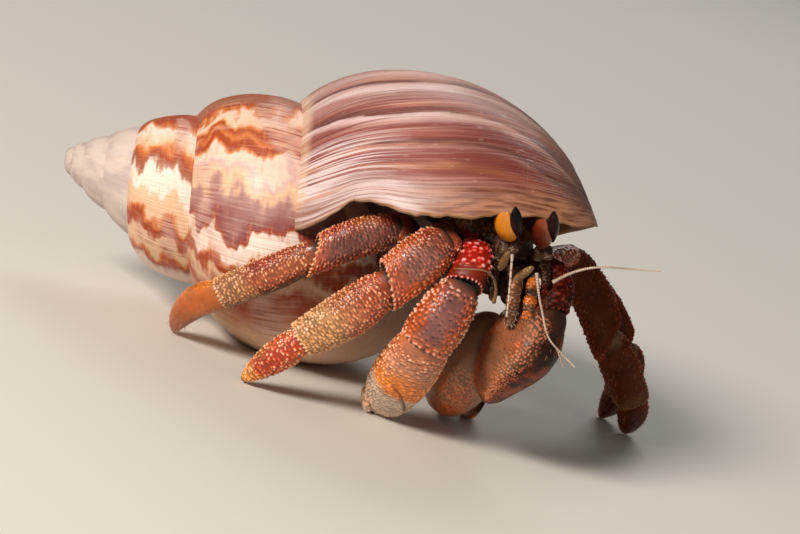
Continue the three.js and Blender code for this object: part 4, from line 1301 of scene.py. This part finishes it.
FEELER_SKIN = dict(Hollow=0.3, Top_Share=0.0, Warm_Share=0.2, Far_Share=0.4, Point_Share=0.75)
PALE_FEELER = cuticle("pale_feeler", **FEELER_SKIN, Upper=(0.44, 0.33, 0.26), Outer=(0.5, 0.39, 0.31),
                      Lower=(0.26, 0.18, 0.12), Inner=(0.26, 0.18, 0.12), Far_End=(0.66, 0.5, 0.4),
                      Warm=(0.30, 0.18, 0.11), Point=(0.07, 0.03, 0.02))
OLIVE_FEELER = cuticle("olive_feeler", **FEELER_SKIN, Upper=(0.20, 0.12, 0.04), Outer=(0.26, 0.15, 0.06),
                       Lower=(0.16, 0.08, 0.03), Inner=(0.14, 0.07, 0.03), Far_End=(0.34, 0.17, 0.09),
                       Warm=(0.24, 0.09, 0.03), Point=(0.06, 0.03, 0.015))
# The left antennule's lower branch leaves its stem at this slice and ends this far from the stem's own tip.
FORK_SLICE, FORK_TIP = 19, np.array([-1.25, 0, -0.45]) * MM
for side, colour in (("right", OLIVE_FEELER), ("left", PALE_FEELER)):
    sheets = Sheets()
    feeler(sheets, along_node(f"antenna_{side}_whip", f"antenna_{side}_base"), 0.19, 0.06, 0.26, 0.5, 0.08)
    sheets.build(f"antenna_{side}_whip_skin", colour, "feeler", [f"antenna_{side}_whip"])
    sheets = Sheets()
    stem = along_node(f"antennule_{side}_stem", f"antennule_{side}_base")
    feeler(sheets, stem, 0.15, 0.10, 0.9 if side == "right" else 0.3, 0.08, 0.1)
    if side == "left":
        feeler(sheets, np.array([stem[FORK_SLICE], stem[-1] + FORK_TIP]), 0.10, 0.05, 0.3, 0.2)
    sheets.build(f"antennule_{side}_stem_skin", PALE_FEELER, "feeler", [f"antennule_{side}_stem"])
    for part, material in (("antennule", OLIVE_FEELER), ("antenna", DARK_SKIN)):
        measured_skin(f"{part}_{side}_base", material, TOWARDS, "feeler", outline=ROUND, pitch=0.4, height=0.04,
                      gap=0.07)

BEADS = [(0.0, 0), (0.0, 0.4), (0.05, 0.75), (0.2, 0.98), (0.45, 1.04), (0.7, 1.0), (0.9, 0.86), (1.0, 0.55),
         (1.0, 0)]
FRONT_SCALE = cuticle("front_scale", coat=0.0, shine=0.15, Hollow=0.2, Upper=(0.07, 0.028, 0.014),
                      Outer=(0.09, 0.038, 0.02), Lower=(0.05, 0.02, 0.01), Inner=(0.03, 0.012, 0.006),
                      Far_End=(0.16, 0.09, 0.05), Far_Start=0.6, Warm=(0.12, 0.035, 0.01), Top=(0.4, 0.26, 0.18))


def front_scales():
    """The small pointed scale at the foot of each eye stalk, and the jointed foot of each long feeler."""
    sheets = Sheets()
    for k, side in enumerate(("right", "left")):
        stalk = lengthwise(f"eyestalk_{side}", TOWARDS).end
        whip = lengthwise(f"antenna_{side}_base", TOWARDS).start
        # foot, where it starts and ends from there, and its two half widths, all in mm
        scales = [(stalk, (0.9, -0.1, 0.3), (1.5, -0.9, -1.1), 0.55, 0.35),
                  (stalk, (0.2, 0.3, -0.2), (0.5, -0.4, -1.7), 0.65, 0.5),
                  (whip, (-0.6, 0.9, 0.1), (0.3, -0.2, -0.5), 0.6, 0.5)]
        for n, (foot, start, end, broad_half, thin_half) in enumerate(scales):
            bar = Bar(foot + np.array(start) * MM, foot + np.array(end) * MM, broad_half, thin_half, TOWARDS)
            article(sheets, bar, outline=BEADS, pitch=0.28, height=0.05, gap=0.06, seed=51 + 3 * k + n)
    return sheets


MAXILLIPED_SKIN = dict(coat=0.1, shine=0.25, Hollow=0.3, Upper=(0.15, 0.055, 0.025), Outer=(0.20, 0.075, 0.035),
                       Lower=(0.12, 0.045, 0.02), Inner=(0.07, 0.025, 0.012), Far_End=(0.17, 0.07, 0.04),
                       Far_Start=0.7, Warm=(0.36, 0.09, 0.015), Top_Share=0.3)
MAXILLIPEDS = {"right": cuticle("maxilliped_right", **MAXILLIPED_SKIN),
               "left": cuticle("maxilliped_left", **MAXILLIPED_SKIN, Near_End=(0.75, 0.17, 0.01), Near_Stop=0.6,
                               Near_Share=0.8)}
# Where each segment of the maxilliped starts and ends, and its share of the width.
PALP_SEGMENTS = [(0.0, 0.39, 1.15), (0.36, 0.71, 1.05), (0.67, 1.0, 0.95)]
for side, material in MAXILLIPEDS.items():
    whole = lengthwise(f"maxilliped_{side}", TOWARDS)
    skin(f"maxilliped_{side}", material,
         [(Stretch(whole, *segment), dict(outline=BEADS, pitch=0.4, height=0.05, gap=0.07, seed=41 + k))
          for k, segment in enumerate(PALP_SEGMENTS)])


def setae(name, pieces, material, each, length, lean=0.8):
    """Short hairs scattered over the named pieces: roots on their skins, each leaning along the piece."""
    roots, ways, spots = [], [], []
    for k, piece in enumerate(pieces):
        points, normal, place, around = skins[piece]
        along = np.gradient(points, axis=0)
        chance = (place > 0.05) & (place < 1.0) & (points[..., 2] > 0.6 * MM) & (np.sum(along**2, -1) > 0)
        rows, columns = np.nonzero(chance)
        pick = rng.choice(len(rows), each, replace=False)
        rows, columns = rows[pick], columns[pick]
        roots.append(points[rows, columns])
        ways.append(normal[rows, columns] + lean * unit(along[rows, columns]) + 0.25 * rng.normal(size=(each, 3)))
        across = (k + np.clip(place[rows, columns], 0, 0.98)) / len(pieces)
        spots.append(np.column_stack([across, 0.99 * around[rows, columns]]))
    roots, ways, spots = (np.concatenate(part) for part in (roots, ways, spots))
    bristles(name, material, roots, ways, length * (0.6 + 0.8 * rng.random(len(roots))), spots)


def hair_material(name, colour, tip):
    """Stiff horny hair, paler in places."""
    material, tree, shader = new_material(name, 0.4)
    place = put(tree, "TexCoord").outputs["Object"]
    tree.links.new(mixed(tree, grain(tree, place, 900.0), colour, tip), shader.inputs["Base Color"])
    return material


front_scales().build("front_scales", FRONT_SCALE, "limb", [])
GOLDEN = hair_material("golden_setae", (0.30, 0.14, 0.05), (0.62, 0.38, 0.20))
CHALKY = hair_material("white_setae", (0.60, 0.50, 0.42), (0.80, 0.72, 0.64))
for side in ("right", "left"):
    setae(f"leg_setae_{side}", [f"leg_{side}_{k}_{part}" for k in (2, 3) for part in LEG_PARTS[2:]], GOLDEN, 110,
          0.5)
setae("mouth_setae", ["maxilliped_right", "maxilliped_left"], CHALKY, 46, 0.42, lean=0.3)
setae("claw_setae", [f"claw_{side}_{part}" for side in ("right", "left") for part in ("merus", "carpus", "palm")],
      GOLDEN, 80, 0.38)


# ---------------------------------------------------------------- the soft abdomen

def abdomen_skin():
    """The soft abdomen curled in the shell: the whorl's oval drawn in by a wall and a half, with ringed folds."""
    rows, columns = 150, 64
    s = np.linspace(0, 1, rows)[:, None]
    phi = -3.3 + 1.8 * s
    tau = np.linspace(-math.pi, math.pi, columns, endpoint=False)[None] + 0 * s
    closing = np.sqrt(np.clip(1 - np.abs(2 * s - 1) ** 6, 0, 1))
    folds = 0.25 * np.cos(TURN * 9 * s) + 0.08 * noise(s * 30, tau * 3, 31)
    size = np.exp(GROWTH * phi)
    inset = WALL + (1.0 + 0.3 * (1 - folds)) * MM
    middle = (APEX + (WHORL_ALONG * size)[..., None] * axis_along
              + (WHORL_OUT * size**FATTEN * np.cos(LIP_ANGLE - phi))[..., None] * axis_near
              + (WHORL_OUT * size**FATTEN * np.sin(LIP_ANGLE - phi))[..., None] * axis_up)
    points = whorl(phi + 0 * tau, tau, inset=inset, core=COLUMELLA + 0.8 * MM)
    points = middle + (points - middle) * closing[..., None]
    sheets = Sheets()
    sheets.add(points + shell_shift, ring_map(s + 0 * tau, tau / TURN + 0.5), height=0.0, point=0.0, lot=0.5,
               soft=0.0)
    return sheets


SOFT_SKIN = cuticle("soft_abdomen", coat=0.3, Hollow=0.4, Upper=(0.22, 0.10, 0.08), Outer=(0.28, 0.13, 0.10),
                    Lower=(0.30, 0.15, 0.09), Inner=(0.26, 0.12, 0.09), Far_End=(0.30, 0.12, 0.08),
                    Warm=(0.36, 0.16, 0.09), Top_Share=0.0)
abdomen_skin().build("abdomen_skin", SOFT_SKIN, "soft", ["abdomen"])


# ---------------------------------------------------------------- floor, light and camera

FLOOR_HALF = 3.0
FLOOR_COLOUR, FLOOR_MOTTLE = (0.66, 0.63, 0.585), 0.97


def floor():
    """A wide pale matte floor with a faint, even mottle."""
    material, tree, shader = new_material("pale_floor", 0.85)
    place = put(tree, "TexCoord").outputs["Object"]
    tone = mixed(tree, grain(tree, place, 6.0, 3.0), FLOOR_COLOUR, tuple(FLOOR_MOTTLE * c for c in FLOOR_COLOUR))
    tree.links.new(tone, shader.inputs["Base Color"])
    mesh = bpy.data.meshes.new("floor")
    corners = [(x * FLOOR_HALF, y * FLOOR_HALF, 0) for x, y in ((-1, -1), (1, -1), (1, 1), (-1, 1))]
    mesh.from_pydata(corners, [], [(0, 1, 2, 3)])
    mesh.materials.append(material)
    plane = bpy.data.objects.new("floor", mesh)
    bpy.context.scene.collection.objects.link(plane)


def area_light(name, place, aim, size, power, colour):
    """A square soft light at a place, turned to the aim point."""
    lamp = bpy.data.lights.new(name, "AREA")
    lamp.size, lamp.energy, lamp.color = size, power, colour
    light = bpy.data.objects.new(name, lamp)
    bpy.context.scene.collection.objects.link(light)
    light.location = place
    light.rotation_euler = (Vector(aim) - Vector(place)).to_track_quat("-Z", "Y").to_euler()


def studio():
    """A faint warm surround, a small warm key light in front on the left, a weak fill and a back light."""
    world = bpy.data.worlds.new("studio")
    world.use_nodes = True
    surround = world.node_tree.nodes["Background"]
    surround.inputs["Color"].default_value = (1.0, 0.95, 0.88, 1)
    surround.inputs["Strength"].default_value = 0.17
    bpy.context.scene.world = world
    aim = (0, 0, 0.02)
    area_light("key", (-0.33, -0.46, 0.37), aim, 0.17, 5.8, (1.0, 0.93, 0.84))
    area_light("fill", (0.50, -0.40, 0.22), aim, 0.45, 0.15, (1.0, 0.95, 0.9))
    area_light("back", (0.05, 0.50, 0.50), aim, 0.35, 1.3, (1, 1, 1))


CAMERA_ELEVATION, CAMERA_ROLL = math.radians(13), math.radians(20)
CAMERA_DISTANCE, CAMERA_AIM = 380 * MM, np.array([3.4, -0.83, 15]) * MM
LENS, SENSOR = 145.4, 36


def camera():
    """A long lens low in front of the crab, leaning so that the floor falls to the right."""
    forward = np.array([0, math.cos(CAMERA_ELEVATION), -math.sin(CAMERA_ELEVATION)])
    level = np.array([1.0, 0, 0])
    upright = np.array([0, math.sin(CAMERA_ELEVATION), math.cos(CAMERA_ELEVATION)])
    right = math.cos(CAMERA_ROLL) * level + math.sin(CAMERA_ROLL) * upright
    up = -math.sin(CAMERA_ROLL) * level + math.cos(CAMERA_ROLL) * upright
    data = bpy.data.cameras.new("camera")
    data.lens, data.sensor_width, data.clip_start = LENS, SENSOR, 0.01
    item = bpy.data.objects.new("camera", data)
    bpy.context.scene.collection.objects.link(item)
    place = Matrix(np.column_stack([right, up, -forward]).tolist()).to_4x4()
    place.translation = (CAMERA_AIM - CAMERA_DISTANCE * forward).tolist()
    item.matrix_world = place
    bpy.context.scene.camera = item


floor()
studio()
camera()
bpy.context.scene.view_settings.view_transform = "Standard"
